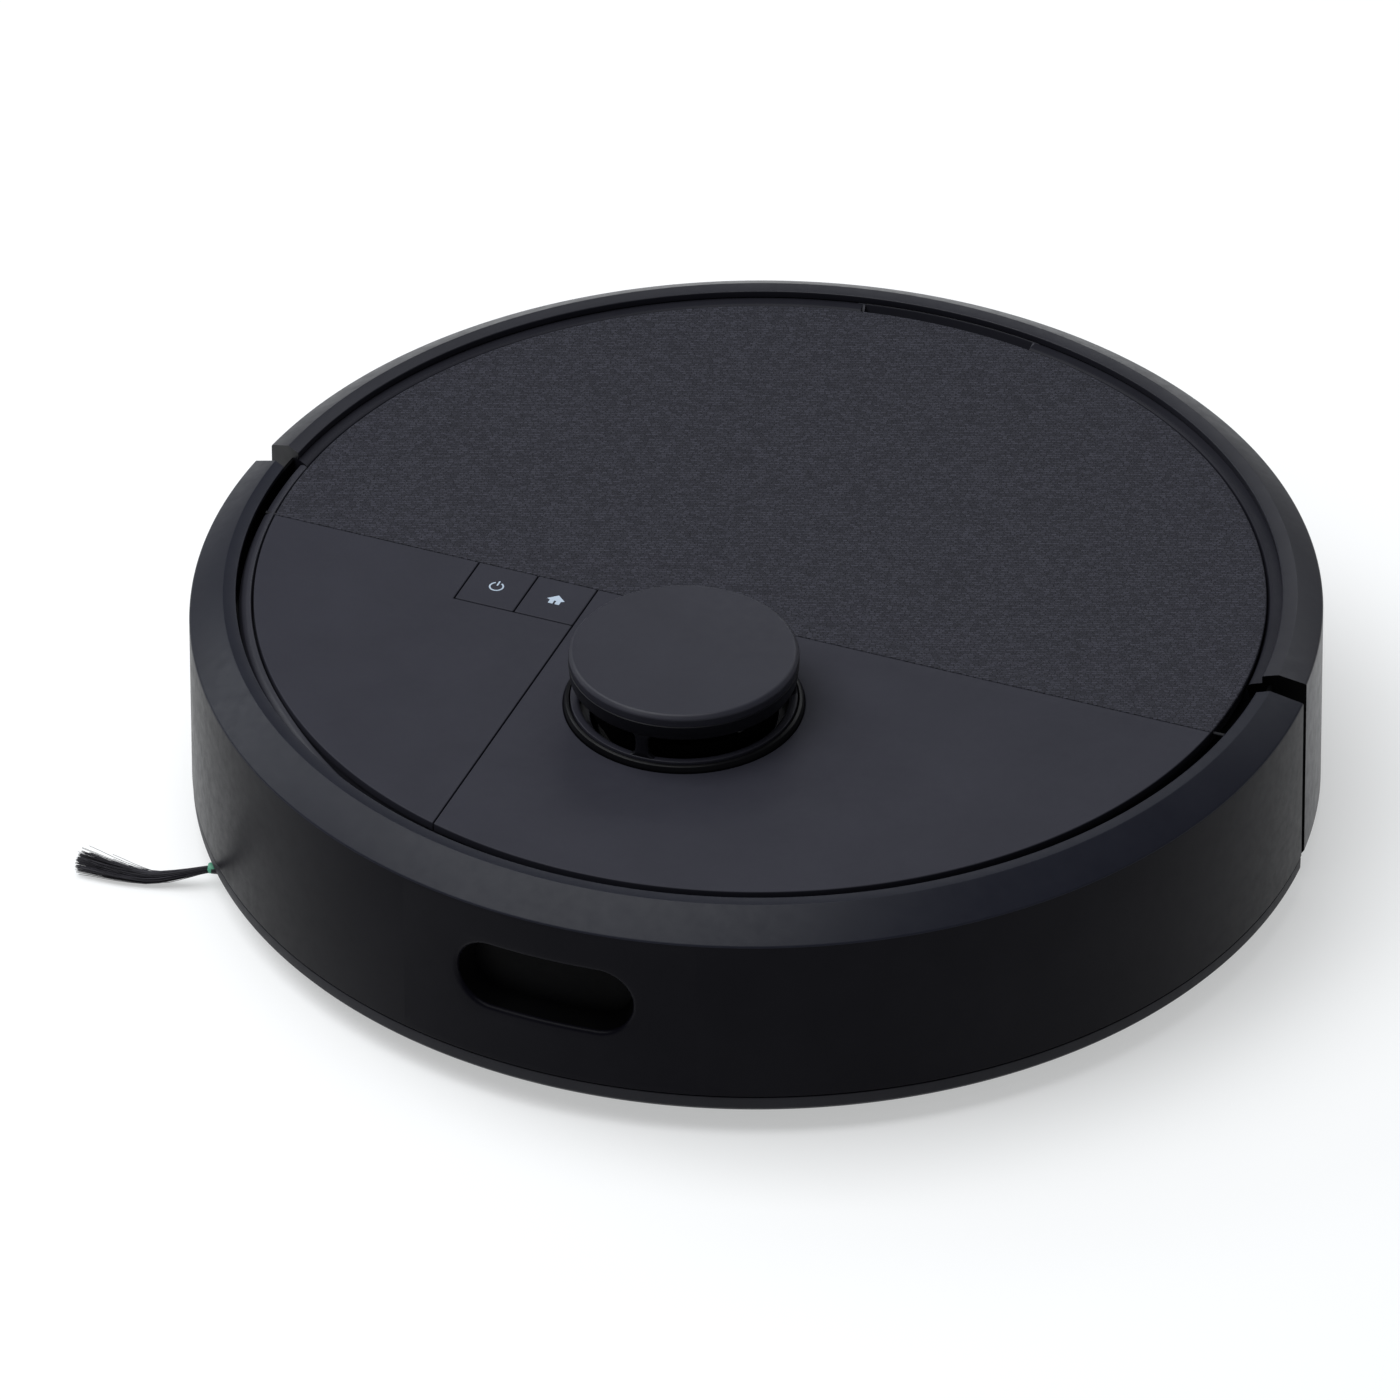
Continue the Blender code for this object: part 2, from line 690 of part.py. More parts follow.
rotor = turned(
    "turret_rotor",
    [(0, 80.5), (ROTOR_R + 3.5, 80.5), (ROTOR_R + 3.5, 76.0), (ROTOR_R, 75.0), (ROTOR_R, 66.0), (0, 66.0)],
    BLACK_PLASTIC,
    at=(0, TURRET_Y, 0),
    steps=48,
    closed=False,
)
facing = Matrix.Rotation(ROTOR_FACING, 4, "Z")
join(rotor, box("lens_block", (-22, -19, 79.5), (22, 12, 92.5), at=(0, TURRET_Y, 0), turn=facing, bevel=1.5))
for name, x, r in (("laser_hole", -LENS_SPACING / 2, 4.3), ("receiver_hole", LENS_SPACING / 2, 5.8)):
    hole = cylinder(name, r, -25, -16.5, axis="Y", n=20, at=(0, 0, 0))
    hole.data.transform(Matrix.Translation(Vector((x, 0, 85.6)) * MM))
    hole.data.transform(facing)
    hole.location = Vector((0, TURRET_Y, 0)) * MM
    cut(rotor, hole)
tidy(rotor)
for name, x, r in (("laser_lens", -LENS_SPACING / 2, 3.9), ("receiver_lens", LENS_SPACING / 2, 5.4)):
    lens = cylinder(name, r - 0.8, -19.6, -17.0, LENS, axis="Y", n=20, top=r)
    lens.data.transform(Matrix.Translation(Vector((x, 0, 85.6)) * MM))
    lens.data.transform(facing)
    lens.location = Vector((0, TURRET_Y, 0)) * MM

pulley = turned(
    "motor_pulley",
    [(0, 72.0), (PULLEY_R + 1.2, 72.0), (PULLEY_R + 1.2, 71.2), (PULLEY_R, 71.0), (PULLEY_R, 67.4), (PULLEY_R + 1.2, 67.2), (PULLEY_R + 1.2, 66.4), (0, 66.4)],
    GREY,
    at=(PULLEY_X, TURRET_Y, 0),
    steps=24,
    closed=False,
)
cylinder("turret_motor", 9.0, 44.0, 66.0, STEEL, at=(PULLEY_X, TURRET_Y, 0), n=28)


def belt_loop(r_big, r_small, distance):
    lean = math.degrees(math.acos((r_big - r_small) / distance))
    return arc(r_big, lean, 360 - lean, 28) + arc(r_small, -lean, lean, 9, (distance, 0))


outline(
    "drive_belt",
    [belt_loop(ROTOR_R + 1.5, PULLEY_R + 1.5, PULLEY_X), belt_loop(ROTOR_R + 0.3, PULLEY_R + 0.3, PULLEY_X)],
    68.0,
    70.4,
    RUBBER,
    at=(0, TURRET_Y, 0),
)

# ---------------------------------------------------------------- inside

box("main_board", (-60, -62, 45.0), (30, -4, 46.6), BOARD)
box("battery_pack", (-38, -90, 13.0), (38, -20, 38.0), BATTERY, bevel=1.5)
cover = box("battery_cover", (-45.1, -97.1, PAN_Z), (45.1, -12.9, PAN_Z + PAN_T), MATT_PLASTIC)
for side, sx in (("left", 1), ("right", -1)):
    cut(cover, cylinder("screw_hole", 2.2, 0, 30, at=(sx * 41, -55, 0), n=16))
    turned(
        "cover_screw_" + side,
        [(0, 8.4), (2.4, 8.4), (3.0, 8.7), (3.0, 9.2), (1.6, 9.2), (1.6, 19.0), (0, 20.0)],
        STEEL,
        at=(sx * 41, -55, 0),
        steps=16,
        closed=False,
    )
tidy(cover)

for side, sx in (("left", 1), ("right", -1)):
    box("charge_contact_" + side, (-15.6, -6.6, 9.2), (15.6, 6.6, 11.6), COPPER, at=(sx * 30, 143, 0), bevel=0.4)
    box("cliff_window_" + side, (-12.6, -4.6, 9.7), (12.6, 4.6, 11.9), GLOSS, at=(sx * 62, -138, 0))

# Fan
fan = turned(
    "fan_housing",
    [(4.5, 15), (FAN_R, 15), (FAN_R, 56), (14, 60), (14, 58), (FAN_R - 2, 54.4), (FAN_R - 2, 31), (16, 31), (16, 30), (4.5, 30)],
    GREY,
    at=(FAN_X, FAN_Y, 0),
    steps=40,
)
outlet = box("fan_outlet", (4, 4, 34), (60, 20, 48), at=(FAN_X, FAN_Y, 0), turn=Matrix.Rotation(math.radians(20), 4, "Z"))
cut(fan, outlet)
tidy(fan)
blade_points = []
BLADES = 8
for i in range(BLADES):
    a = 360.0 * i / BLADES
    blade_points += [rotated((7.0, -1.2), a), rotated((14.0, 2.0), a), rotated((23.0, 8.0), a), rotated((22.4, 9.4), a), rotated((13.4, 3.6), a), rotated((7.0, 1.2), a)]
impeller = outline("fan_impeller", [blade_points], 34.5, 46.0, GREY, at=(FAN_X, FAN_Y, 0))
join(
    impeller,
    turned("impeller_disc", [(0, 33.0), (25.0, 33.0), (25.0, 35.0), (8.5, 35.5), (6.5, 48.0), (0, 50.0)], at=(FAN_X, FAN_Y, 0), steps=32, closed=False),
    cylinder("impeller_shaft", 3.0, 17.0, 34.0, at=(FAN_X, FAN_Y, 0), n=16),
)
tidy(impeller)

# Main brush, its tunnel, bearings, guard and gearbox
tunnel = box("brush_tunnel", (-92, 0, PAN_Z + PAN_T + GAP), (92, 48.5, 45), BLACK_PLASTIC, bevel=0)
cut(
    tunnel,
    box("tunnel_inside", (-90, 2.2, 0), (90, 46.5, 43)),
    box("tunnel_outlet", (-60, 40, 19), (20, 60, 41)),
    cylinder("drive_hole", 5.0, 80, 100, at=(0, BRUSH_Y, BRUSH_Z), axis="X", n=16),
)
tidy(tunnel)
fins = []
FINS = 6
for i in range(FINS):
    a = 360.0 * i / FINS
    fins += [rotated((7.8, -2.2), a), rotated((BRUSH_R, -0.8), a), rotated((BRUSH_R, 0.8), a), rotated((7.8, 2.2), a)]
TURN_X = Matrix.Rotation(math.pi / 2, 4, "Z") @ Matrix.Rotation(math.pi / 2, 4, "X")
brush = outline("main_brush", [fins], -BRUSH_LEN / 2, BRUSH_LEN / 2, BRUSH, at=(0, BRUSH_Y, BRUSH_Z), turn=TURN_X)
join(brush, cylinder("brush_journal", 3.0, -88.5, 88.5, at=(0, BRUSH_Y, BRUSH_Z), axis="X", n=16))
tidy(brush)
for side, sx in (("left", 1), ("right", -1)):
    x0, x1 = (83.6, 89.6) if sx > 0 else (-89.6, -83.6)
    bearing = box("brush_bearing_" + side, (x0, -7.5, -8.0), (x1, 7.5, 8.0), GREY, at=(0, BRUSH_Y, BRUSH_Z))
    cut(bearing, cylinder("bearing_bore", 3.35, -120, 120, at=(0, BRUSH_Y, BRUSH_Z), axis="X", n=16))
    tidy(bearing)
guard = box("brush_guard", (-92.6, -6, 6.8), (92.6, 52, PAN_Z - GAP), BLACK_PLASTIC)
cut(guard, box("guard_mouth", (-86, 3.5, 0), (86, 43.5, 20)))
tidy(guard)
box("brush_gearbox", (40, 4, 45.6), (86, 40, 66), GREY, bevel=2.0)

# Side brush
cylinder("side_brush_motor", 15.0, PAN_Z + PAN_T + GAP, 48, BLACK_PLASTIC, at=(SIDE_X, SIDE_Y, 0), n=28)
hub = turned(
    "side_brush_hub",
    [(0, 3.6), (9.0, 3.6), (10.5, 5.0), (10.5, 8.0), (6.5, 8.8), (6.5, 11.6), (0, 11.6)],
    BLACK_PLASTIC,
    at=(SIDE_X, SIDE_Y, 0),
    steps=28,
    closed=False,
)
for i in range(3):
    turn = Matrix.Rotation(SIDE_ANGLE + i * 2 * math.pi / 3, 4, "Z")
    arm = cylinder("side_arm", 3.6, 6.0, SIDE_ARM_R, axis="X", n=10, top=2.4)
    arm.data.transform(Matrix.Scale(0.55, 4, (0, 0, 1)))
    arm.data.transform(Matrix.Translation((0, 0, 6.2 * MM)))
    arm.data.transform(turn)
    arm.location = Vector((SIDE_X, SIDE_Y, 0)) * MM
    join(hub, arm)
    tuft = cylinder("side_brush_tuft_%d" % (i + 1), 1.9, SIDE_ARM_R + 0.3, SIDE_TIP_R, BRISTLE, axis="X", n=8, top=3.4)
    tuft.data.transform(Matrix.Scale(0.5, 4, (0, 0, 1)))
    drop = math.atan2(2.6, SIDE_TIP_R - SIDE_ARM_R)
    root_at = Vector((SIDE_ARM_R * MM, 0, 0))
    tuft.data.transform(Matrix.Translation(root_at) @ Matrix.Rotation(drop, 4, "Y") @ Matrix.Translation(-root_at))
    tuft.data.transform(Matrix.Translation((0, 0, 5.9 * MM)))
    tuft.data.transform(turn)
    tuft.location = Vector((SIDE_X, SIDE_Y, 0)) * MM
tidy(hub)

# ---------------------------------------------------------------- wheels

for side, sx in (("left", 1), ("right", -1)):
    # Arm: a teardrop housing on the inner side of the wheel, hinged at its front end.
    py, pz = ARM_PIVOT
    reach = math.hypot(py, pz - WHEEL_R)
    lean = math.degrees(math.acos((17.0 - 9.0) / reach))
    # In the arm's own plane: pivot at the origin, wheel centre at (reach, 0).
    contour = arc(17.0, -(180 - lean), 180 - lean, 17, (reach, 0)) + arc(9.0, 180 - lean, 180 + lean, 9, (0, 0))
    tilt = math.atan2(WHEEL_R - pz, -py)
    x0, x1 = (93.5, 105.5) if sx > 0 else (-105.5, -93.5)
    to_yz = Matrix.Rotation(math.pi / 2, 4, "Z") @ Matrix.Rotation(math.pi / 2, 4, "X")
    place = Matrix.Rotation(tilt, 4, "X") @ to_yz
    gearbox = outline("wheel_gearbox_" + side, [contour], x0, x1, GREY, at=(0, py, pz), turn=place)
    pin_x = (85.0, 95.0) if sx > 0 else (-95.0, -85.0)
    join(gearbox, cylinder("arm_pin", 3.0, *pin_x, at=(0, py, pz), axis="X", n=18))
    join(gearbox, box("spring_pad", (x0 + 1, 14, 5.0), (x1 - 1, 30, 19), at=(0, py, pz)))
    cut(gearbox, cylinder("axle_hole", 3.4, -130, 130, at=(0, 0, WHEEL_R), axis="X", n=18))
    tidy(gearbox)
    w0, w1 = WHEEL_X - WHEEL_W / 2, WHEEL_X + WHEEL_W / 2
    # Turned about X: heights along the profile run along the axle.
    if sx > 0:
        hub_profile = [(0, 94.5), (3.0, 94.5), (3.0, w0 - 1.0), (7.0, w0), (24.0, w0 + 1.0), (24.0, w1 - 1.0), (20.0, w1 - 1.0), (17.0, w1 - 3.5), (8.0, w1 - 3.5), (6.0, w1 - 0.5), (0, w1 - 0.5)]
    else:
        hub_profile = [(0, -94.5), (3.0, -94.5), (3.0, -w0 + 1.0), (7.0, -w0), (24.0, -w0 - 1.0), (24.0, -w1 + 1.0), (20.0, -w1 + 1.0), (17.0, -w1 + 3.5), (8.0, -w1 + 3.5), (6.0, -w1 + 0.5), (0, -w1 + 0.5)]
    turned("wheel_hub_" + side, hub_profile, GREY, at=(0, 0, WHEEL_R), steps=36, closed=False, axis="X")
    treads = 20
    # The corners stand out a little, so that the flats between them are at the full radius.
    corner_r = WHEEL_R / math.cos(math.radians(360.0 / treads / 12))
    loop = []
    for i in range(treads):
        for f in (0.0, 1 / 6, 2 / 6, 0.5):
            loop.append(rotated((corner_r, 0), 360.0 / treads * (i + f)))
        for f in (0.6, 0.9):
            loop.append(rotated((WHEEL_R - 2.0, 0), 360.0 / treads * (i + f)))
    # A tread block faces straight down, so that the wheel stands at its full radius.
    loop = [rotated(p, -90.0 - 360.0 / treads * 0.25) for p in loop]
    tyre_x = (w0, w1) if sx > 0 else (-w1, -w0)
    outline("tyre_" + side, [loop, circle(24.4, 36)], *tyre_x, RUBBER, at=(0, 0, WHEEL_R), turn=to_yz)
    # The spring stands on the arm's pad and presses against the deck.
    spring = tube("suspension_spring_" + side, helix(4.2, 53.9, 69.9, 4.5, 8), 0.55, STEEL, at=(sx * 99.5, py + 22, 0))

# ---------------------------------------------------------------- caster

fork = turned(
    "caster_fork",
    [(0, 12.5), (18.5, 12.5), (18.5, 18.0), (15.0, 24.0), (3.9, 24.2), (3.9, 30.5), (0, 31.0)],
    BLACK_PLASTIC,
    at=(0, CASTER_Y, 0),
    steps=36,
    closed=False,
)
wheel_y = CASTER_Y + CASTER_TRAIL
cut(fork, box("fork_slot", (-8.0, -12.5, 0), (8.0, 12.5, 21.5), at=(0, wheel_y - 1.0, 0)))
for sx in (1, -1):
    join(fork, box("cheek", (8.0 if sx > 0 else -11.0, -5.0, 6.5), (11.0 if sx > 0 else -8.0, 5.0, 14.0), at=(0, wheel_y, 0)))
join(fork, cylinder("caster_axle", 1.6, -10, 10, at=(0, wheel_y, CASTER_R), axis="X", n=14))
tidy(fork)
turned(
    "caster_wheel",
    [(2.0, -6.8), (8.6, -6.8), (CASTER_R, -4.6), (CASTER_R, 4.6), (8.6, 6.8), (2.0, 6.8)],
    RUBBER,
    at=(0, wheel_y, CASTER_R),
    steps=32,
    axis="X",
)

# ---------------------------------------------------------------- dust bin

dust_bin = box("dust_bin", (BIN_X0, BIN_Y0, BIN_Z0), (BIN_X1, BIN_Y1, BIN_Z1), SMOKE)
cut(
    dust_bin,
    box("bin_inside", (BIN_X0 + BIN_WALL, BIN_Y0 + BIN_WALL, BIN_Z0 + BIN_WALL), (BIN_X1 - BIN_WALL, BIN_Y1 - BIN_WALL, 90)),
    box("bin_inlet", (-58, 40, 21), (18, 60, 39)),
    box("filter_frame", (30, 62, 22), (60, 120, 58)),
)
tidy(dust_bin)
box("bin_filter", (37.5, 60.5, 20.5), (BIN_X1 - BIN_WALL - GAP, 121.5, 59.5), FILTER)
bin_cover = box("bin_cover", (BIN_X0, BIN_Y0, BIN_Z1 + GAP), (BIN_X1, BIN_Y1, 69.0), GREY, bevel=0.6)
cut(bin_cover, box("handle_recess", (-62, 72, 67.4), (22, 112, 80)))
tidy(bin_cover)
grip = outline(
    "bin_handle",
    [[(-60, 110), (-60, 74), (-54, 74), (-54, 102), (14, 102), (14, 74), (20, 74), (20, 110)]],
    67.7,
    71.5,
    BLACK_PLASTIC,
)
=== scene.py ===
import math
import random

import bmesh
import bpy
from mathutils import Matrix, Vector


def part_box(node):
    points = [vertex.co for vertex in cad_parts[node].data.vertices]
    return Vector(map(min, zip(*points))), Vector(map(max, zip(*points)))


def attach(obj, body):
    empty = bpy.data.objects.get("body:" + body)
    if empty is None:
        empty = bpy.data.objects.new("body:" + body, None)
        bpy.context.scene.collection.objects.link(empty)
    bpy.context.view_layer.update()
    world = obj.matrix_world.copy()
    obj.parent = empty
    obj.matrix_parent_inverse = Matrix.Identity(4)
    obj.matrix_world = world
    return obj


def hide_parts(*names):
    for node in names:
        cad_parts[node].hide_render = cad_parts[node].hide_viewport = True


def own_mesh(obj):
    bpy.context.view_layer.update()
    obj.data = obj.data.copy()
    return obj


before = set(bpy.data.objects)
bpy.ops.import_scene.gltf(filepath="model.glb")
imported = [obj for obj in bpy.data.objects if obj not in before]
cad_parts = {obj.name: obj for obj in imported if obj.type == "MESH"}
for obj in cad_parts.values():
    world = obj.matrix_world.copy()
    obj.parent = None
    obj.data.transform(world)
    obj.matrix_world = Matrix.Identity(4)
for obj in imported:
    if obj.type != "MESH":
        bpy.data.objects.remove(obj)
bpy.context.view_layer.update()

MM = 0.001
TAU = 2 * math.pi

# ---------------------------------------------------------------- camera

scene = bpy.context.scene
scene.view_settings.view_transform = "Standard"
scene.view_settings.look = "None"

AZ, EL, ROLL = math.radians(22.2), math.radians(35.64), math.radians(-0.21)
away = Vector((math.sin(AZ) * math.cos(EL), -math.cos(AZ) * math.cos(EL), math.sin(EL)))
right = Vector((math.cos(AZ), math.sin(AZ), 0))
up = Vector((-math.sin(AZ) * math.sin(EL), math.cos(AZ) * math.sin(EL), math.cos(EL)))
cam_data = bpy.data.cameras.new("camera")
cam_data.lens = 593
cam_data.sensor_width = 36
cam_data.clip_end = 40
cam = bpy.data.objects.new("camera", cam_data)
scene.collection.objects.link(cam)
place = Vector((0, 0, 0.0417)) + 7.145 * away - 0.0187 * right - 0.0046 * up
turn = Matrix((right, up, away)).transposed().to_4x4() @ Matrix.Rotation(ROLL, 4, "Z")
cam.matrix_world = Matrix.Translation(place) @ turn
scene.camera = cam

# ---------------------------------------------------------------- materials


def tree_of(name):
    mat = bpy.data.materials.new(name)
    mat.use_nodes = True
    nodes = mat.node_tree.nodes
    shader = nodes["Principled BSDF"]
    return mat, nodes, mat.node_tree.links, shader


def noise(nodes, links, coords, scale, detail=3.0, rough=0.5):
    node = nodes.new("ShaderNodeTexNoise")
    node.inputs["Scale"].default_value = scale
    node.inputs["Detail"].default_value = detail
    node.inputs["Roughness"].default_value = rough
    links.new(coords, node.inputs["Vector"])
    return node


def mapped(nodes, links, value, low, high, from_low=0.3, from_high=0.7):
    node = nodes.new("ShaderNodeMapRange")
    node.inputs["From Min"].default_value = from_low
    node.inputs["From Max"].default_value = from_high
    node.inputs["To Min"].default_value = low
    node.inputs["To Max"].default_value = high
    links.new(value, node.inputs["Value"])
    return node.outputs["Result"]


def blend_colour(nodes, links, factor, a, b):
    node = nodes.new("ShaderNodeMix")
    node.data_type = "RGBA"
    node.inputs["A"].default_value = (*a, 1)
    node.inputs["B"].default_value = (*b, 1)
    links.new(factor, node.inputs["Factor"])
    return node.outputs["Result"]


def bump(nodes, links, shader, height, strength, distance, below=None):
    node = nodes.new("ShaderNodeBump")
    node.inputs["Strength"].default_value = strength
    node.inputs["Distance"].default_value = distance
    links.new(height, node.inputs["Height"])
    if below is not None:
        links.new(below, node.inputs["Normal"])
    links.new(node.outputs["Normal"], shader.inputs["Normal"])
    return node.outputs["Normal"]


def moulded(name, colour, rough, spec=0.5, metallic=0.0, grain=2600.0, depth=0.00002, strength=0.35, vary=0.12, coat=0.0):
    """Moulded plastic or metal: a fine surface grain, cloudy changes in gloss, and small scuffs."""
    mat, nodes, links, shader = tree_of(name)
    coords = nodes.new("ShaderNodeTexCoord").outputs["Object"]
    clouds = noise(nodes, links, coords, 38.0, 4.0, 0.6)
    fine = noise(nodes, links, coords, grain, 2.0, 0.5)
    scuffs = noise(nodes, links, coords, 240.0, 6.0, 0.7)
    dark = tuple(c * (1 - vary) for c in colour)
    light = tuple(min(1.0, c * (1 + vary) + 0.0012) for c in colour)
    links.new(blend_colour(nodes, links, mapped(nodes, links, clouds.outputs["Fac"], 0, 1), dark, light), shader.inputs["Base Color"])
    links.new(mapped(nodes, links, scuffs.outputs["Fac"], rough - 0.05, rough + 0.06), shader.inputs["Roughness"])
    bump(nodes, links, shader, fine.outputs["Fac"], strength, depth)
    shader.inputs["Metallic"].default_value = metallic
    shader.inputs["Specular IOR Level"].default_value = spec
    if coat:
        shader.inputs["Coat Weight"].default_value = coat
        shader.inputs["Coat Roughness"].default_value = 0.08
    return mat


def woven(name):
    """The lid's fabric-like texture: short raised dashes in slightly wandering rows, a few of them lighter."""
    mat, nodes, links, shader = tree_of(name)
    coords = nodes.new("ShaderNodeTexCoord").outputs["Object"]
    mapping = nodes.new("ShaderNodeMapping")
    mapping.inputs["Rotation"].default_value = (0, 0, -AZ)
    mapping.inputs["Scale"].default_value = (1000, 1000, 1000)
    links.new(coords, mapping.inputs["Vector"])
    wander = noise(nodes, links, mapping.outputs["Vector"], 0.6, 2.0, 0.6)
    shift = nodes.new("ShaderNodeVectorMath")
    shift.operation = "SUBTRACT"
    shift.inputs[1].default_value = (0.5, 0.5, 0.5)
    links.new(wander.outputs["Color"], shift.inputs[0])
    scaled = nodes.new("ShaderNodeVectorMath")
    scaled.operation = "MULTIPLY"
    scaled.inputs[1].default_value = (2.0, 0.8, 0.0)
    links.new(shift.outputs["Vector"], scaled.inputs[0])
    moved = nodes.new("ShaderNodeVectorMath")
    moved.operation = "ADD"
    links.new(mapping.outputs["Vector"], moved.inputs[0])
    links.new(scaled.outputs["Vector"], moved.inputs[1])
    brick = nodes.new("ShaderNodeTexBrick")
    brick.offset = 0.5
    brick.offset_frequency = 2
    brick.squash = 1.35
    brick.squash_frequency = 3
    brick.inputs["Scale"].default_value = 1.0
    brick.inputs["Brick Width"].default_value = 1.6
    brick.inputs["Row Height"].default_value = 0.95
    brick.inputs["Mortar Size"].default_value = 0.20
    brick.inputs["Mortar Smooth"].default_value = 0.9
    brick.inputs["Bias"].default_value = -0.1
    brick.inputs["Color1"].default_value = (0.0200, 0.0200, 0.0272, 1)
    brick.inputs["Color2"].default_value = (0.040, 0.040, 0.0525, 1)
    brick.inputs["Mortar"].default_value = (0.0085, 0.0085, 0.0118, 1)
    links.new(moved.outputs["Vector"], brick.inputs["Vector"])
    specks = noise(nodes, links, mapping.outputs["Vector"], 0.9, 3.0, 0.7)
    tint = nodes.new("ShaderNodeMix")
    tint.data_type = "RGBA"
    tint.blend_type = "MULTIPLY"
    tint.inputs["Factor"].default_value = 1.0
    links.new(brick.outputs["Color"], tint.inputs["A"])
    links.new(blend_colour(nodes, links, mapped(nodes, links, specks.outputs["Fac"], 0, 1, 0.35, 0.68), (0.88, 0.88, 0.89), (1.13, 1.13, 1.15)), tint.inputs["B"])
    links.new(tint.outputs["Result"], shader.inputs["Base Color"])
    fine = noise(nodes, links, mapping.outputs["Vector"], 4.0, 2.0, 0.5)
    first = bump(nodes, links, shader, fine.outputs["Fac"], 0.3, 0.00003)
    height = nodes.new("ShaderNodeMath")
    height.operation = "SUBTRACT"
    height.inputs[0].default_value = 1.0
    links.new(brick.outputs["Fac"], height.inputs[1])
    bump(nodes, links, shader, height.outputs["Value"], 0.55, 0.00012, first)
    links.new(mapped(nodes, links, specks.outputs["Fac"], 0.52, 0.66), shader.inputs["Roughness"])
    shader.inputs["Specular IOR Level"].default_value = 0.16
    return mat


def bristle_material(name, colour):
    mat, nodes, links, shader = tree_of(name)
    coords = nodes.new("ShaderNodeTexCoord").outputs["Object"]
    fleck = noise(nodes, links, coords, 420.0, 2.0, 0.6)
    each = nodes.new("ShaderNodeNewGeometry").outputs["Random Per Island"]
    both = nodes.new("ShaderNodeMath")
    both.operation = "MULTIPLY_ADD"
    both.inputs[1].default_value = 0.3
    links.new(fleck.outputs["Fac"], both.inputs[0])
    links.new(mapped(nodes, links, each, 0.0, 0.75, 0.0, 1.0), both.inputs[2])
    links.new(blend_colour(nodes, links, both.outputs["Value"], tuple(c * 0.25 for c in colour), tuple(c * 2.6 for c in colour)), shader.inputs["Base Color"])
    links.new(mapped(nodes, links, fleck.outputs["Fac"], 0.35, 0.6), shader.inputs["Roughness"])
    shader.inputs["Specular IOR Level"].default_value = 0.3
    bump(nodes, links, shader, fleck.outputs["Fac"], 0.3, 0.00003)
    return mat


def pleated(name, colour, pitch):
    """Filter paper folded into pleats, with a fibrous surface and painted shade in the folds."""
    mat, nodes, links, shader = tree_of(name)
    coords = nodes.new("ShaderNodeTexCoord").outputs["Object"]
    wave = nodes.new("ShaderNodeTexWave")
    wave.wave_type = "BANDS"
    wave.bands_direction = "Y"
    wave.inputs["Scale"].default_value = 1.0 / pitch / 3.2
    wave.inputs["Distortion"].default_value = 0.4
    links.new(coords, wave.inputs["Vector"])
    # Painted shade: the base colour is darker in bands along the pleats.
    links.new(blend_colour(nodes, links, wave.outputs["Fac"], tuple(c * 0.72 for c in colour), colour), shader.inputs["Base Color"])
    fibres = noise(nodes, links, coords, 1400.0, 4.0, 0.7)
    first = bump(nodes, links, shader, fibres.outputs["Fac"], 0.4, 0.00005)
    bump(nodes, links, shader, wave.outputs["Fac"], 0.8, 0.0008, first)
    shader.inputs["Roughness"].default_value = 0.85
    return mat


def circuit(name):
    """Solder mask over tracks and pads."""
    mat, nodes, links, shader = tree_of(name)
    coords = nodes.new("ShaderNodeTexCoord").outputs["Object"]
    brick = nodes.new("ShaderNodeTexBrick")
    brick.inputs["Scale"].default_value = 260.0
    brick.inputs["Mortar Size"].default_value = 0.05
    brick.inputs["Brick Width"].default_value = 1.7
    brick.inputs["Color1"].default_value = (0.015, 0.10, 0.045, 1)
    brick.inputs["Color2"].default_value = (0.02, 0.15, 0.07, 1)
    brick.inputs["Mortar"].default_value = (0.06, 0.28, 0.12, 1)
    links.new(coords, brick.inputs["Vector"])
    links.new(brick.outputs["Color"], shader.inputs["Base Color"])
    bump(nodes, links, shader, brick.outputs["Fac"], 0.4, 0.0001)
    shader.inputs["Roughness"].default_value = 0.35
    return mat


CHARCOAL = moulded("charcoal_panel", (0.0235, 0.0235, 0.0325), 0.55, 0.16, strength=0.2, vary=0.05)
# WALL: the bumper's black plastic, painted far darker than the rim and chamfer as painted shade on its vertical faces.
WALL = moulded("bumper_wall_black_and_painted_shade", (0.0026, 0.0024, 0.0046), 0.34, 0.05, strength=0.12, grain=3200.0, vary=0.06)
RING = moulded("rear_ring_finish", (0.014, 0.014, 0.0195), 0.36, 0.22, strength=0.15, grain=3200.0, vary=0.06)
CHAMFER = moulded("bumper_chamfer_finish", (0.0100, 0.0108, 0.0175), 0.36, 0.15, strength=0.12, grain=3200.0, vary=0.06)
LIP = moulded("lip_strip_finish", (0.011, 0.011, 0.015), 0.48, 0.14)
TROUGH = moulded("trough_finish", (0.024, 0.024, 0.032), 0.45, 0.25, grain=1800.0, vary=0.06)
WEAVE = woven("woven_lid")
CAP = moulded("turret_cap_finish", (0.0215, 0.0215, 0.030), 0.42, 0.22, strength=0.1, vary=0.05)
# DARK_GREY_AND_PAINTED_SHADE: dark grey. It is painted shade on the cap's side and on the ring's left end; the pillars
# and hinge pins share it.
DARK_GREY_AND_PAINTED_SHADE = moulded("dark_grey_and_painted_shade", (0.0055, 0.0055, 0.008), 0.4, 0.14, strength=0.1)
GLOSS = moulded("gloss_black_finish", (0.004, 0.004, 0.005), 0.13, 0.5, strength=0.05, coat=0.4)
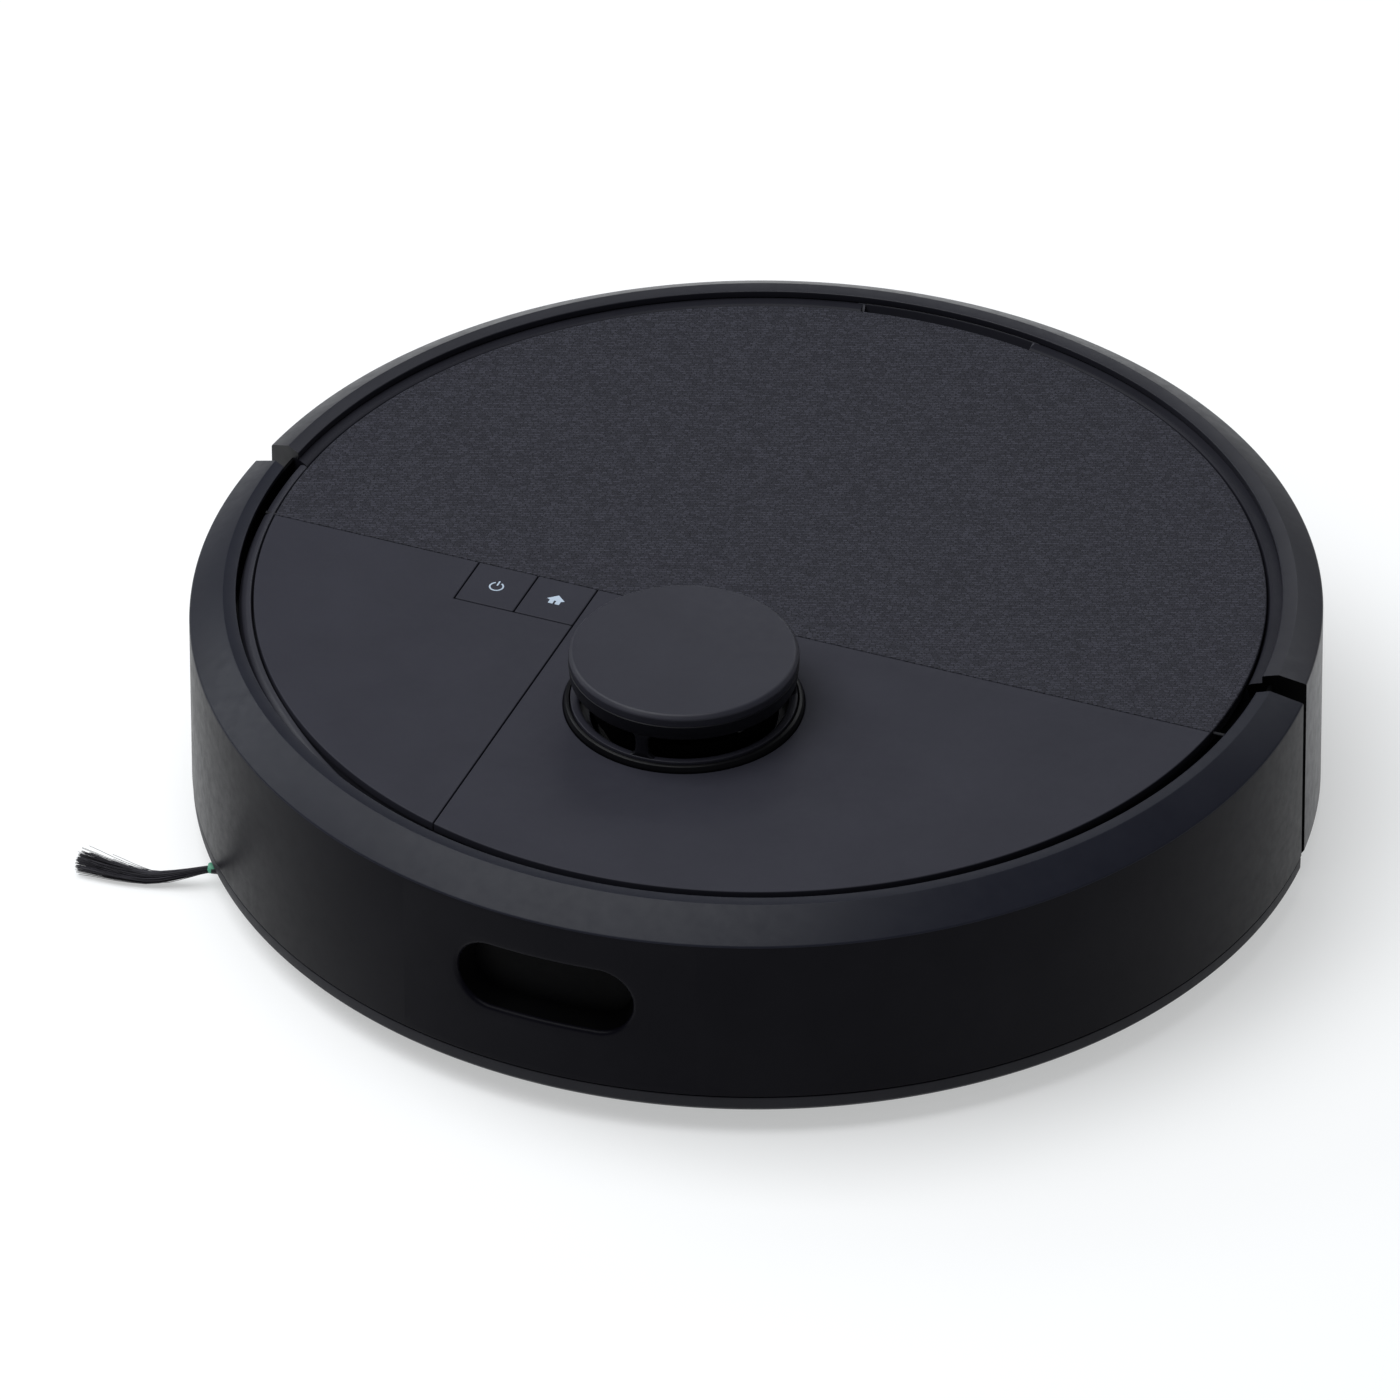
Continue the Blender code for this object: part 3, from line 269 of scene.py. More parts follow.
# PITCH_BLACK_AND_PAINTED_SHADE: near-black. It is the own black of the turret head, and painted shade in the slot, the
# gap behind the bumper's ends, the front groove and the ring's right end.
PITCH_BLACK_AND_PAINTED_SHADE = moulded("pitch_black_and_painted_shade", (0.0008, 0.0008, 0.001), 0.7, 0.02)
COLLAR_BLACK = moulded("turret_collar_finish", (0.0020, 0.0020, 0.0028), 0.32, 0.12, strength=0.05)
BAND_REAR = moulded("rear_band_finish", (0.0125, 0.0125, 0.0175), 0.5, 0.12, vary=0.06)
WINDOW = moulded("sensor_window_finish", (0.0006, 0.0006, 0.0008), 0.45, 0.03, strength=0.05)
BLACK = moulded("black_plastic_finish", (0.014, 0.014, 0.016), 0.5, 0.4, grain=1500.0, strength=0.4)
PAN = moulded("pan_finish", (0.020, 0.020, 0.023), 0.62, 0.35, grain=1100.0, depth=0.00005, strength=0.6)
GREY = moulded("grey_plastic_finish", (0.13, 0.13, 0.14), 0.5, 0.45, grain=1500.0)
STEEL = moulded("steel_finish", (0.56, 0.56, 0.57), 0.3, 0.5, 1.0, grain=5200.0)
CONTACT = moulded("contact_finish", (0.74, 0.66, 0.48), 0.28, 0.5, 1.0, grain=5200.0)
RUBBER = moulded("rubber_finish", (0.016, 0.016, 0.016), 0.82, 0.3, grain=1300.0, depth=0.00008, strength=0.7, vary=0.3)
SMOKE = moulded("smoked_bin_finish", (0.045, 0.046, 0.054), 0.2, 0.5, grain=900.0, strength=0.12, coat=0.3)
LENS = moulded("lens_finish", (0.020, 0.006, 0.024), 0.06, 0.6, strength=0.03, coat=1.0)
BATTERY = moulded("battery_wrap_finish", (0.03, 0.07, 0.18), 0.35, 0.5, grain=700.0)
BRUSH = moulded("brush_rubber_finish", (0.34, 0.055, 0.03), 0.62, 0.35, grain=1200.0, strength=0.5, vary=0.2)
COLLAR = moulded("collar_green_finish", (0.085, 0.32, 0.20), 0.5, 0.4, strength=0.2)
ICON = moulded("icon_pale_finish", (0.42, 0.50, 0.60), 0.4, 0.4, strength=0.1)
BRISTLE = bristle_material("bristle_finish", (0.018, 0.017, 0.021))
FILTER = pleated("filter_finish", (0.80, 0.80, 0.77), 0.004)
BOARD = circuit("board_finish")

# ---------------------------------------------------------------- helpers


def add(name, bm_or_mesh, mat, body, nodes=(), angle=32.0):
    if isinstance(bm_or_mesh, bmesh.types.BMesh):
        mesh = bpy.data.meshes.new(name)
        bmesh.ops.recalc_face_normals(bm_or_mesh, faces=bm_or_mesh.faces)
        bm_or_mesh.to_mesh(mesh)
        bm_or_mesh.free()
    else:
        mesh = bm_or_mesh
    mesh.materials.clear()
    mesh.materials.append(mat)
    mesh.shade_smooth()
    mesh.set_sharp_from_angle(angle=math.radians(angle))
    obj = bpy.data.objects.new(name, mesh)
    scene.collection.objects.link(obj)
    if nodes:
        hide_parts(*nodes)
    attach(obj, body)
    return obj


def rounded(points, radii, n=4, closed=True):
    """The outline with each corner turned into an arc of about that radius."""
    out = []
    count = len(points)
    for i, (p, radius) in enumerate(zip(points, radii)):
        p = Vector(p)
        if radius <= 0 or (not closed and i in (0, count - 1)):
            out.append(tuple(p))
            continue
        a = Vector(points[i - 1]) - p
        b = Vector(points[(i + 1) % count]) - p
        half = a.angle(b) / 2
        reach = min(radius / max(math.tan(half), 1e-3), a.length * 0.48, b.length * 0.48)
        start, end = p + a.normalized() * reach, p + b.normalized() * reach
        for k in range(n + 1):
            t = k / n
            out.append(tuple((1 - t) ** 2 * start + 2 * t * (1 - t) * p + t * t * end))
    return out


def lathe(name, profile, mat, body, nodes=(), steps=192, centre=(0, 0), axis="Z", closed=True, origin=(0, 0, 0), angle=32.0):
    """profile is (radius, height) points; closed=False where it starts and ends on the axis."""
    bm = bmesh.new()
    rings = []
    for i in range(steps):
        a = TAU * i / steps
        ring = []
        for r, z in profile:
            if axis == "Z":
                co = Vector((centre[0] + r * math.cos(a), centre[1] + r * math.sin(a), z))
            else:
                co = Vector((origin[0] + z, origin[1] + r * math.cos(a), origin[2] + r * math.sin(a)))
            ring.append(bm.verts.new(co * MM))
        rings.append(ring)
    count = len(profile)
    for i in range(steps):
        one, two = rings[i], rings[(i + 1) % steps]
        for j in range(count if closed else count - 1):
            k = (j + 1) % count
            bm.faces.new((one[j], two[j], two[k], one[k]))
    bmesh.ops.remove_doubles(bm, verts=bm.verts, dist=1e-7)
    return add(name, bm, mat, body, nodes, angle)


def plate(name, loops, z0, z1, bevel, mat, body, nodes=(), segments=4):
    """A flat outline with rounded edges."""
    curve = bpy.data.curves.new(name + "_curve", "CURVE")
    curve.dimensions = "2D"
    curve.fill_mode = "BOTH"
    curve.extrude = ((z1 - z0) / 2 - bevel) * MM
    curve.bevel_depth = bevel * MM
    curve.bevel_resolution = segments
    curve.offset = -bevel * MM
    for loop in loops:
        spline = curve.splines.new("POLY")
        spline.points.add(len(loop) - 1)
        for point, (x, y) in zip(spline.points, loop):
            point.co = (x * MM, y * MM, 0, 1)
        spline.use_cyclic_u = True
    guide = bpy.data.objects.new(name + "_guide", curve)
    scene.collection.objects.link(guide)
    graph = bpy.context.evaluated_depsgraph_get()
    mesh = bpy.data.meshes.new_from_object(guide.evaluated_get(graph))
    bpy.data.objects.remove(guide, do_unlink=True)
    bm = bmesh.new()
    bm.from_mesh(mesh)
    bmesh.ops.remove_doubles(bm, verts=bm.verts, dist=1e-7)
    bmesh.ops.translate(bm, vec=(0, 0, (z0 + z1) / 2 * MM), verts=bm.verts)
    bpy.data.meshes.remove(mesh)
    return add(name, bm, mat, body, nodes)


def arc(radius, start, end, count, centre=(0.0, 0.0)):
    return [
        (
            centre[0] + radius * math.cos(math.radians(start + (end - start) * i / (count - 1))),
            centre[1] + radius * math.sin(math.radians(start + (end - start) * i / (count - 1))),
        )
        for i in range(count)
    ]


def circle(radius, count, centre=(0.0, 0.0)):
    return arc(radius, 0, 360 - 360 / count, count, centre)


def swept(bm, section, ends, count):
    """A loft round the robot. section(angle) gives (r, z) points; ends(j) is point j's first and last angle, so that an end face can be a slanted plane. Angles are from straight ahead."""
    points = len(section(0.0))
    limits = [ends(j) for j in range(points)]
    rings = []
    for i in range(count):
        t = i / (count - 1)
        ring = []
        for j in range(points):
            a = limits[j][0] + (limits[j][1] - limits[j][0]) * t
            r, z = section(a)[j]
            ring.append(bm.verts.new(Vector((r * math.sin(a), -r * math.cos(a), z)) * MM))
        rings.append(ring)
    return rings


def skin(bm, rings, skip=None, caps=True):
    for i, (one, two) in enumerate(zip(rings, rings[1:])):
        for j in range(len(one)):
            if skip and skip(i, j):
                continue
            k = (j + 1) % len(one)
            bm.faces.new((one[j], one[k], two[k], two[j]))
    if caps:
        bm.faces.new(rings[0])
        bm.faces.new(rings[-1][::-1])


def plane_end(section, point, toward_front):
    """ends() for a section that stops on the slanted planes through `point` on both sides."""
    ux, uy = math.cos(math.radians(30)), math.sin(math.radians(30))

    def side(j):
        low, high = math.radians(60), math.radians(130)
        for _ in range(40):
            mid = (low + high) / 2
            r, _z = section(mid)[j]
            x, y = r * math.sin(mid), -r * math.cos(mid)
            if ux * (y - point[1]) - uy * (x - point[0]) < 0:
                low = mid
            else:
                high = mid
        return (low + high) / 2

    if toward_front:
        return lambda j: (-side(j), side(j))
    return lambda j: (side(j), TAU - side(j))


# ---------------------------------------------------------------- sizes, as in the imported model

RING_R, BUMPER_R, BUMPER_Y, WALL_T = 174.0, 175.5, -2.5, 2.2
RIM_IN, BUMPER_RIM_IN, RIM_OUT, RIM_Z = 161.3, 162.0, 165.9, 78.5
LID_R, LID_Z, AXIS_Y = 156.5, 76.5, -15.0
SEAM_X, SPLIT = -47.3, 0.4
TURRET = (0.0, -62.5)
SLOT_W, SLOT_H, SLOT_Z = 58.2, 22.8, 45.6


def reach(angle, radius):
    s, c = math.cos(angle), -BUMPER_Y
    return c * s + math.sqrt(radius * radius - c * c * (1 - s * s))


# ---------------------------------------------------------------- bumper


def shell_section(a):
    out = reach(a, BUMPER_R)
    inn = reach(a, BUMPER_R - WALL_T)
    edge = RIM_Z - 0.62 * (out - RIM_OUT)
    points = [
        (BUMPER_RIM_IN, RIM_Z - 1.5),
        (BUMPER_RIM_IN, RIM_Z),
        (RIM_OUT, RIM_Z),
        (out, edge),
        (out, 14.8),
        (inn, 14.8),
        (inn, edge - 1.3),
        (RIM_OUT - 0.4, RIM_Z - 1.5),
    ]
    return rounded(points, [0, 0.35, 0.8, 1.1, 0.25, 0.2, 0, 0], 4)


bm = bmesh.new()
COUNT = 361
probe = shell_section(0.0)
# The wall's row: the long drop between the chamfer's fillet and the seam's fillet.
wall_row = max(range(len(probe) - 1), key=lambda j: abs(probe[j][1] - probe[j + 1][1]) if probe[j][0] > 177 else 0)
rings = swept(bm, shell_section, plane_end(shell_section, (163.1, 6.0), True), COUNT)
HALF_SPAN = 30
MIDDLE = (COUNT - 1) // 2
low_i, high_i = MIDDLE - HALF_SPAN, MIDDLE + HALF_SPAN
inner_row = max(range(len(probe) - 1), key=lambda j: abs(probe[j][1] - probe[j + 1][1]) if probe[j][0] < 177 else 0)
skin(bm, rings, skip=lambda i, j: j in (wall_row, inner_row) and low_i <= i < high_i)
# The patch round the slot joins the wall's edges to the slot's rounded mouth.
top = [rings[i][wall_row] for i in range(low_i, high_i + 1)]
foot = [rings[i][wall_row + 1] for i in range(low_i, high_i + 1)]


def flat(v):
    """(distance round the bumper, height) of a point on the wall, in mm."""
    a = math.atan2(v.co.x, -v.co.y)
    return a * 178.0, v.co.z / MM


def wall_point(u, z, depth=0.0):
    a = u / 178.0
    r = reach(a, BUMPER_R - depth)
    return Vector((r * math.sin(a), -r * math.cos(a), z)) * MM


SIDE_ROWS = 14
border = list(top)
for k in range(1, SIDE_ROWS):
    a, b = top[-1], foot[-1]
    border.append(bm.verts.new(a.co.lerp(b.co, k / SIDE_ROWS)))
border += foot[::-1]
for k in range(1, SIDE_ROWS):
    a, b = foot[0], top[0]
    border.append(bm.verts.new(a.co.lerp(b.co, k / SIDE_ROWS)))


def stadium_point(dx, dz, grow=0.0):
    """Where the ray from the slot's centre leaves the stadium, grown outwards by `grow`."""
    r = SLOT_H / 2 + grow
    half = SLOT_W / 2 - SLOT_H / 2
    length = math.hypot(dx, dz)
    dx, dz = dx / length, dz / length
    if abs(dz) > 1e-9 and abs(dx / dz) * r <= half:
        s = r / abs(dz)
        return dx * s, dz * s
    cx = math.copysign(half, dx)
    b = -dx * cx
    c = cx * cx - r * r
    s = -b + math.sqrt(max(b * b - c, 0))
    return dx * s, dz * s


flats = [flat(v) for v in border]
previous = border
FILLET = 1.5
steps_in = [0.12, 0.3, 0.5, 0.7, 0.85]
loops = []
for t in steps_in:
    loops.append([bm.verts.new(wall_point(*(lambda s: (u + (s[0] - u) * t, z + (s[1] + SLOT_Z - z) * t))(stadium_point(u, z - SLOT_Z, FILLET)))) for u, z in flats])
for k in range(0, 7):
    angle = math.pi / 2 * k / 6
    grow, depth = FILLET * (1 - math.sin(angle)), FILLET * (1 - math.cos(angle))
    loops.append([bm.verts.new(wall_point(s[0], s[1] + SLOT_Z, depth)) for s in (stadium_point(u, z - SLOT_Z, grow) for u, z in flats)])
for loop in loops:
    for k in range(len(loop)):
        m = (k + 1) % len(loop)
        bm.faces.new((previous[k], previous[m], loop[m], loop[k]))
    previous = loop
rim_points = [(u, z) for u, z in flats]
# The inner face keeps its own, slightly larger mouth.
low_row, high_row = inner_row, inner_row + 1
if probe[low_row][1] < probe[high_row][1]:
    low_row, high_row = high_row, low_row
top = [rings[i][low_row] for i in range(low_i, high_i + 1)]
foot = [rings[i][high_row] for i in range(low_i, high_i + 1)]
border = list(top)
for k in range(1, SIDE_ROWS):
    border.append(bm.verts.new(top[-1].co.lerp(foot[-1].co, k / SIDE_ROWS)))
border += foot[::-1]
for k in range(1, SIDE_ROWS):
    border.append(bm.verts.new(foot[0].co.lerp(top[0].co, k / SIDE_ROWS)))
loop = [bm.verts.new(wall_point(s[0], s[1] + SLOT_Z, WALL_T)) for s in (stadium_point(u, z - SLOT_Z, 0.25) for u, z in (flat(v) for v in border))]
for k in range(len(loop)):
    m = (k + 1) % len(loop)
    bm.faces.new((border[k], border[m], loop[m], loop[k]))
bumper = add("bumper_skin", bm, WALL, "bumper", ["bumper_shell"], 40)
bumper.data.materials.append(CHAMFER)
# Painted shade: the upward faces take the chamfer's colour, and the rest of the bumper keeps the darker wall colour as
# painted shade on the vertical wall.
for face in bumper.data.polygons:
    if face.normal.z > 0.35 and face.center.z > 0.06:
        face.material_index = 1
# Painted shade: a near-black funnel inside the slot, standing in for the shade in its depth.
bm = bmesh.new()
previous = None
for depth, grow in ((1.3, 0.05), (2.4, -0.1), (5.0, -0.9), (8.5, -2.0)):
    loop = [bm.verts.new(wall_point(s[0], s[1] + SLOT_Z, depth)) for s in (stadium_point(u, z - SLOT_Z, grow) for u, z in rim_points)]
    if previous:
        for k in range(len(loop)):
            m = (k + 1) % len(loop)
            bm.faces.new((previous[k], previous[m], loop[m], loop[k]))
    previous = loop
add("slot_funnel", bm, PITCH_BLACK_AND_PAINTED_SHADE, "bumper", (), 40)

bm = bmesh.new()


def lip_section(a):
    out = reach(a, BUMPER_R)
    points = [(out - 0.15, 14.35), (out - 0.25, 10.4), (out - 1.4, 9.0), (out - 3.2, 9.0), (out - WALL_T, 14.35)]
    return rounded(points, [0.3, 0.4, 0.4, 0.2, 0.1], 3)


skin(bm, swept(bm, lip_section, plane_end(lip_section, (163.1, 6.0), True), 241))
add("lower_lip", bm, LIP, "bumper", ["bumper_lip"], 40)

bm = bmesh.new()


def window_section(a):
    front, back = reach(a, BUMPER_R - 8.3), reach(a, BUMPER_R - 9.2)
    return [(front, SLOT_Z + 14), (front, SLOT_Z - 14), (back, SLOT_Z - 14), (back, SLOT_Z + 14)]


skin(bm, swept(bm, window_section, lambda j: (-math.radians(11.5), math.radians(11.5)), 41))
add("sensor_window", bm, WINDOW, "bumper", ["dock_window"], 40)

# ---------------------------------------------------------------- rear shell


def ring_section(a):
    points = [
        (RIM_IN, RIM_Z),
        (RIM_OUT, RIM_Z),
        (RING_R, 74.0),
        (RING_R, 51.8),
        (RING_R, 30.2),
        (RING_R, 11.0),
        (RING_R - 1.5, 9.0),
        (163.6, 9.3),
        (163.6, 11.3),
        (RING_R - 2.4, 11.5),
        (RING_R - 2.4, 30.2),
        (RING_R - 2.4, 51.8),
        (RING_R - 2.4, 72.6),
        (RIM_OUT - 0.4, RIM_Z - 2.2),
        (RIM_IN, RIM_Z - 2.2),
    ]
    return rounded(points, [0.35, 0.8, 1.1, 0, 0, 0.4, 0.4, 0, 0, 0, 0, 0, 0, 0, 0.1], 4)


bm = bmesh.new()
rings = swept(bm, ring_section, plane_end(ring_section, (161.4, 14.3), False), 361)
probe = ring_section(0.0)
holes = [j for j, (r, z) in enumerate(probe) if r > 171 and min(abs(z - 51.8), abs(z - 30.2)) < 0.01]
out_hi, out_lo, in_lo, in_hi = holes
GRILLE = math.atan2(124.0, -118.0)
near = [i for i in range(361) if abs(math.atan2(rings[i][out_hi].co.x, -rings[i][out_hi].co.y) - GRILLE) * RING_R < 23.9]
first, last = near[0], near[-1]
skin(bm, rings, skip=lambda i, j: j in (out_hi, in_lo) and first <= i < last, caps=False)
for i in range(first, last):
    for one, two in ((out_hi, in_hi), (out_lo, in_lo)):
        bm.faces.new((rings[i][one], rings[i + 1][one], rings[i + 1][two], rings[i][two]))
for i in (first, last):
    bm.faces.new((rings[i][out_hi], rings[i][out_lo], rings[i][in_lo], rings[i][in_hi]))


def solid_end(a):
    points = [
        (RIM_IN, RIM_Z), (RIM_OUT, RIM_Z), (RING_R, 74.0), (RING_R, 11.0), (RING_R - 1.5, 9.0), (163.6, 9.3), (163.6, 64.0),
        (158.2, 69.5), (157.1, 74.6), (157.5, 75.6), (158.3, 75.9), (RIM_IN, 75.9),
    ]
    return rounded(points, [0.35, 0.8, 1.1, 0.4, 0.4, 0, 0, 0, 0, 0, 0, 0], 4)


# Each end is closed by a flat face on the slanted plane.
ends = plane_end(solid_end, (161.4, 14.3), False)
for flip in (False, True):
    face = []
    for j in range(len(solid_end(0))):
        a = ends(j)[1 if flip else 0]
        r, z = solid_end(a)[j]
        face.append(bm.verts.new(Vector((r * math.sin(a), -r * math.cos(a), z)) * MM))
    bm.faces.new(face)
ring = add("rear_ring", bm, RING, "chassis", ["rear_shell"], 40)
# Painted shade: the ring's right end face is black as painted shadow in the gap, and its left end face is dark grey as
# painted shade against the left lamp's light.
ring.data.materials.append(PITCH_BLACK_AND_PAINTED_SHADE)
ring.data.materials.append(DARK_GREY_AND_PAINTED_SHADE)
for face in ring.data.polygons:
    if len(face.vertices) > 12:
        face.material_index = 1 if face.center.x > 0 else 2

# ---------------------------------------------------------------- deck and the groove round the lid

bm = bmesh.new()


REAR_GROOVE = [(155.0, 70.0), (157.1, 74.6), (157.5, 75.6), (158.3, 75.9), (160.5, 75.9), (162.9, 75.9), (162.9, 66.0), (161.7, 66.0), (158.5, 69.0)]
LEFT_GROOVE = [(155.0, 70.5), (156.75, 70.7), (157.3, 75.8), (158.7, 75.5), (160.2, 74.6), (161.15, 72.6), (161.15, 66.0), (159.95, 66.0), (158.0, 69.5)]
LOW_GROOVE = [(155.0, 70.2), (157.0, 70.5), (158.0, 70.8), (159.6, 71.0), (160.7, 71.2), (161.15, 71.3), (161.15, 66.0), (159.95, 66.0), (158.0, 69.5)]


def groove_section(kind):
    def section(a):
        if kind == "rear":
            points = REAR_GROOVE
        elif kind == "low":
            points = LOW_GROOVE
        else:
            t = min(max((math.degrees(a) + 48.0) / 30.0, 0.0), 1.0)
            t = t * t * (3 - 2 * t)
            points = [(p[0] + (q[0] - p[0]) * t, p[1] + (q[1] - p[1]) * t) for p, q in zip(LEFT_GROOVE, LOW_GROOVE)]
        return rounded(points, [0, 0.3, 0.5, 0.8, 0.8, 0.3, 0, 0, 0], 3)

    return section


rear_ends = plane_end(groove_section("rear"), (161.4, 14.5), False)
front_ends = plane_end(groove_section("low"), (161.4, 13.9), True)
bm = bmesh.new()
skin(bm, swept(bm, groove_section("rear"), lambda j: (rear_ends(j)[0], math.radians(169.6)), 121))
skin(bm, swept(bm, groove_section("rear"), lambda j: (math.radians(190.4), rear_ends(j)[1]), 121))
add("groove_band", bm, BAND_REAR, "chassis", (), 40)
bm = bmesh.new()
skin(bm, swept(bm, groove_section("left"), lambda j: (front_ends(j)[0], math.radians(-17.0)), 161))
add("groove_trim", bm, TROUGH, "chassis", (), 40)
# Painted shade: the groove's floor at the front right is black, standing in for the shade deep in the groove.
bm = bmesh.new()
skin(bm, swept(bm, groove_section("low"), lambda j: (math.radians(-17.2), front_ends(j)[1]), 161))
add("groove_floor_painted_shade", bm, PITCH_BLACK_AND_PAINTED_SHADE, "chassis", (), 40)

SCOOP = math.degrees(math.asin(29.0 / 155.6))
SCOOP_IN = math.degrees(math.asin(29.0 / 147.5))
deck_loop = arc(155.6, 90 + SCOOP, 450 - SCOOP, 220) + arc(147.5, 90 - SCOOP_IN, 90 + SCOOP_IN, 30)
plate(
    "deck_plate",
    [deck_loop, [(-87, 48.5), (47, 48.5), (47, 132.5), (-87, 132.5)], circle(28.9, 96, TURRET), [(37, -70.5), (53, -70.5), (53, -54.5), (37, -54.5)]],
    70.6, 73.2, 0.3, TROUGH, "chassis", ["upper_deck"],
)
bm = bmesh.new()


def scoop_section(a):
    return [(146.0, 72.8), (147.6, 72.8), (147.6, 67.2), (161.3, 67.2), (161.3, 76.0), (162.9, 76.0), (162.9, 65.4), (146.0, 65.4)]


skin(bm, swept(bm, lambda a: rounded(scoop_section(a), [0, 0.4, 2.5, 1.5, 0.5, 0.3, 0, 0], 4), lambda j: (math.radians(169.5), math.radians(190.5)), 41))
for start in (169.1, 190.1):
    skin(bm, swept(bm, lambda a: [(146.0, 72.9), (157.0, 72.9), (161.4, 76.0), (162.8, 76.0), (162.8, 65.5), (146.0, 65.5)], lambda j: (math.radians(start), math.radians(start + 0.8)), 3))
add("finger_bowl", bm, TROUGH, "chassis", (), 40)

# Painted shadow: a black wall behind the gap between the bumper's ends and the ring's ends.
bm = bmesh.new()
for start, end in ((-103.0, -84.0), (84.0, 103.0)):
    skin(bm, swept(bm, lambda a: [(163.2, 12.0), (163.2, 75.0), (164.2, 75.0), (164.2, 12.0)], lambda j: (math.radians(start), math.radians(end)), 25))
# A ledge under the gap, clear of the bumper's travel, also black as painted shadow.
for start, end in ((-98.5, -85.0), (85.0, 98.5)):
    skin(bm, swept(bm, lambda a: [(163.2, 12.4), (163.2, 13.4), (171.4, 13.4), (171.4, 12.4)], lambda j: (math.radians(start), math.radians(end)), 19))
add("gap_painted_shadow", bm, PITCH_BLACK_AND_PAINTED_SHADE, "chassis", (), 40)

# ---------------------------------------------------------------- panels, lid and buttons

top_y = AXIS_Y - 1.5 - 0.3
seam_l, seam_r = SEAM_X - SPLIT / 2, SEAM_X + SPLIT / 2
BUTTON_W, BUTTON_L = 19.4, 20.3


def on_disc_x(x, radius=LID_R):
    return -math.sqrt(radius * radius - x * x)


def on_disc_y(y, radius=LID_R):
    return math.sqrt(radius * radius - y * y)


def angle_of(point):
    return math.degrees(math.atan2(point[1], point[0])) % 360


b_left = seam_l - 2 * BUTTON_W - 2 * SPLIT
b_front = top_y - BUTTON_L - SPLIT
plate(
    "front_plate_right",
    [arc(LID_R, angle_of((-on_disc_y(top_y), top_y)), angle_of((seam_l, on_disc_x(seam_l))), 90) + [(seam_l, b_front), (b_left, b_front), (b_left, top_y)]],
    LID_Z - 3.0, LID_Z, 0.4, CHARCOAL, "chassis", ["front_panel_right"],
)
plate(
    "front_plate_left",
    [arc(LID_R, angle_of((seam_r, on_disc_x(seam_r))), angle_of((on_disc_y(top_y), top_y)), 140) + [(seam_r, top_y)], circle(37.2, 128, TURRET)],
    LID_Z - 3.0, LID_Z, 0.4, CHARCOAL, "chassis", ["front_panel_left"],
)


def rounded_rect(x0, y0, x1, y1, r, n=5):
    out = []
    for cx, cy, start in ((x1 - r, y1 - r, 0), (x0 + r, y1 - r, 90), (x0 + r, y0 + r, 180), (x1 - r, y0 + r, 270)):
        out += arc(r, start, start + 90, n, (cx, cy))
    return out


for index, (name, body) in enumerate((("power_button", "power_key"), ("home_button", "home_key"))):
    x0 = b_left + SPLIT + index * (BUTTON_W + SPLIT)
    y0 = b_front + SPLIT
    plate(name + "_tab", [rounded_rect(x0, y0, x0 + BUTTON_W, y0 + BUTTON_L, 0.5)], LID_Z - 1.7, LID_Z, 0.4, CHARCOAL, body, [name])
    cx, cy = x0 + BUTTON_W / 2, y0 + BUTTON_L / 2
    z = LID_Z + 0.02
    strokes = []
    if index == 0:
        strokes = [(arc(2.1, 118, 422, 28, (cx, cy)), False), ([(cx, cy + 0.5), (cx, cy + 2.9)], False)]
    else:
        strokes = [([(cx - 1.1, cy - 2.0), (cx - 1.1, cy + 0.4)], False), ([(cx + 1.1, cy - 2.0), (cx + 1.1, cy + 0.4)], False)]
    bm = bmesh.new()
    for points, _loop in strokes:
        w = 0.26 if index == 0 else 0.75
        left, rite = [], []
        for k, p in enumerate(points):
            a = Vector(points[max(k - 1, 0)])
            b = Vector(points[min(k + 1, len(points) - 1)])
            n = (b - a).normalized()
            n = Vector((-n.y, n.x)) * w
            left.append((p[0] + n.x, p[1] + n.y))
            rite.append((p[0] - n.x, p[1] - n.y))
        rows = [[bm.verts.new(Vector((x, y, h)) * MM) for x, y in side] for side, h in ((left, z - 0.1), (left, z + 0.02), (rite, z + 0.02), (rite, z - 0.1))]
        for r in range(4):
            one, two = rows[r], rows[(r + 1) % 4]
            for k in range(len(points) - 1):
                bm.faces.new((one[k], one[k + 1], two[k + 1], two[k]))
        for k in (0, -1):
            bm.faces.new([row[k] for row in rows])
    if index:
        roof = [(cx - 2.9, cy + 0.2), (cx, cy + 2.7), (cx + 2.9, cy + 0.2), (cx + 1.8, cy - 0.3), (cx - 1.8, cy - 0.3)]
        tops = [[bm.verts.new(Vector((x, y, h)) * MM) for x, y in roof] for h in (z - 0.1, z + 0.025)]
        bm.faces.new(tops[0])
        bm.faces.new(tops[1])
        for k in range(5):
            m = (k + 1) % 5
            bm.faces.new((tops[0][k], tops[0][m], tops[1][m], tops[1][k]))
    add(name + "_icon", bm, ICON, body)

# The woven lid: a disc cut straight at the hinge, with a small top edge and a deeply rounded underside at the front.


def lid_loop(inset, z, arc_n=260, line_n=120):
    front = AXIS_Y - 1.5 + inset
    r = LID_R - inset
    start = math.degrees(math.asin(front / r))
    loop = arc(r, start, 180 - start, arc_n)
    x0 = loop[-1][0]
    loop += [(x0 + (loop[0][0] - x0) * k / line_n, front) for k in range(1, line_n)]
    return [Vector((x, y, z)) * MM for x, y in loop]


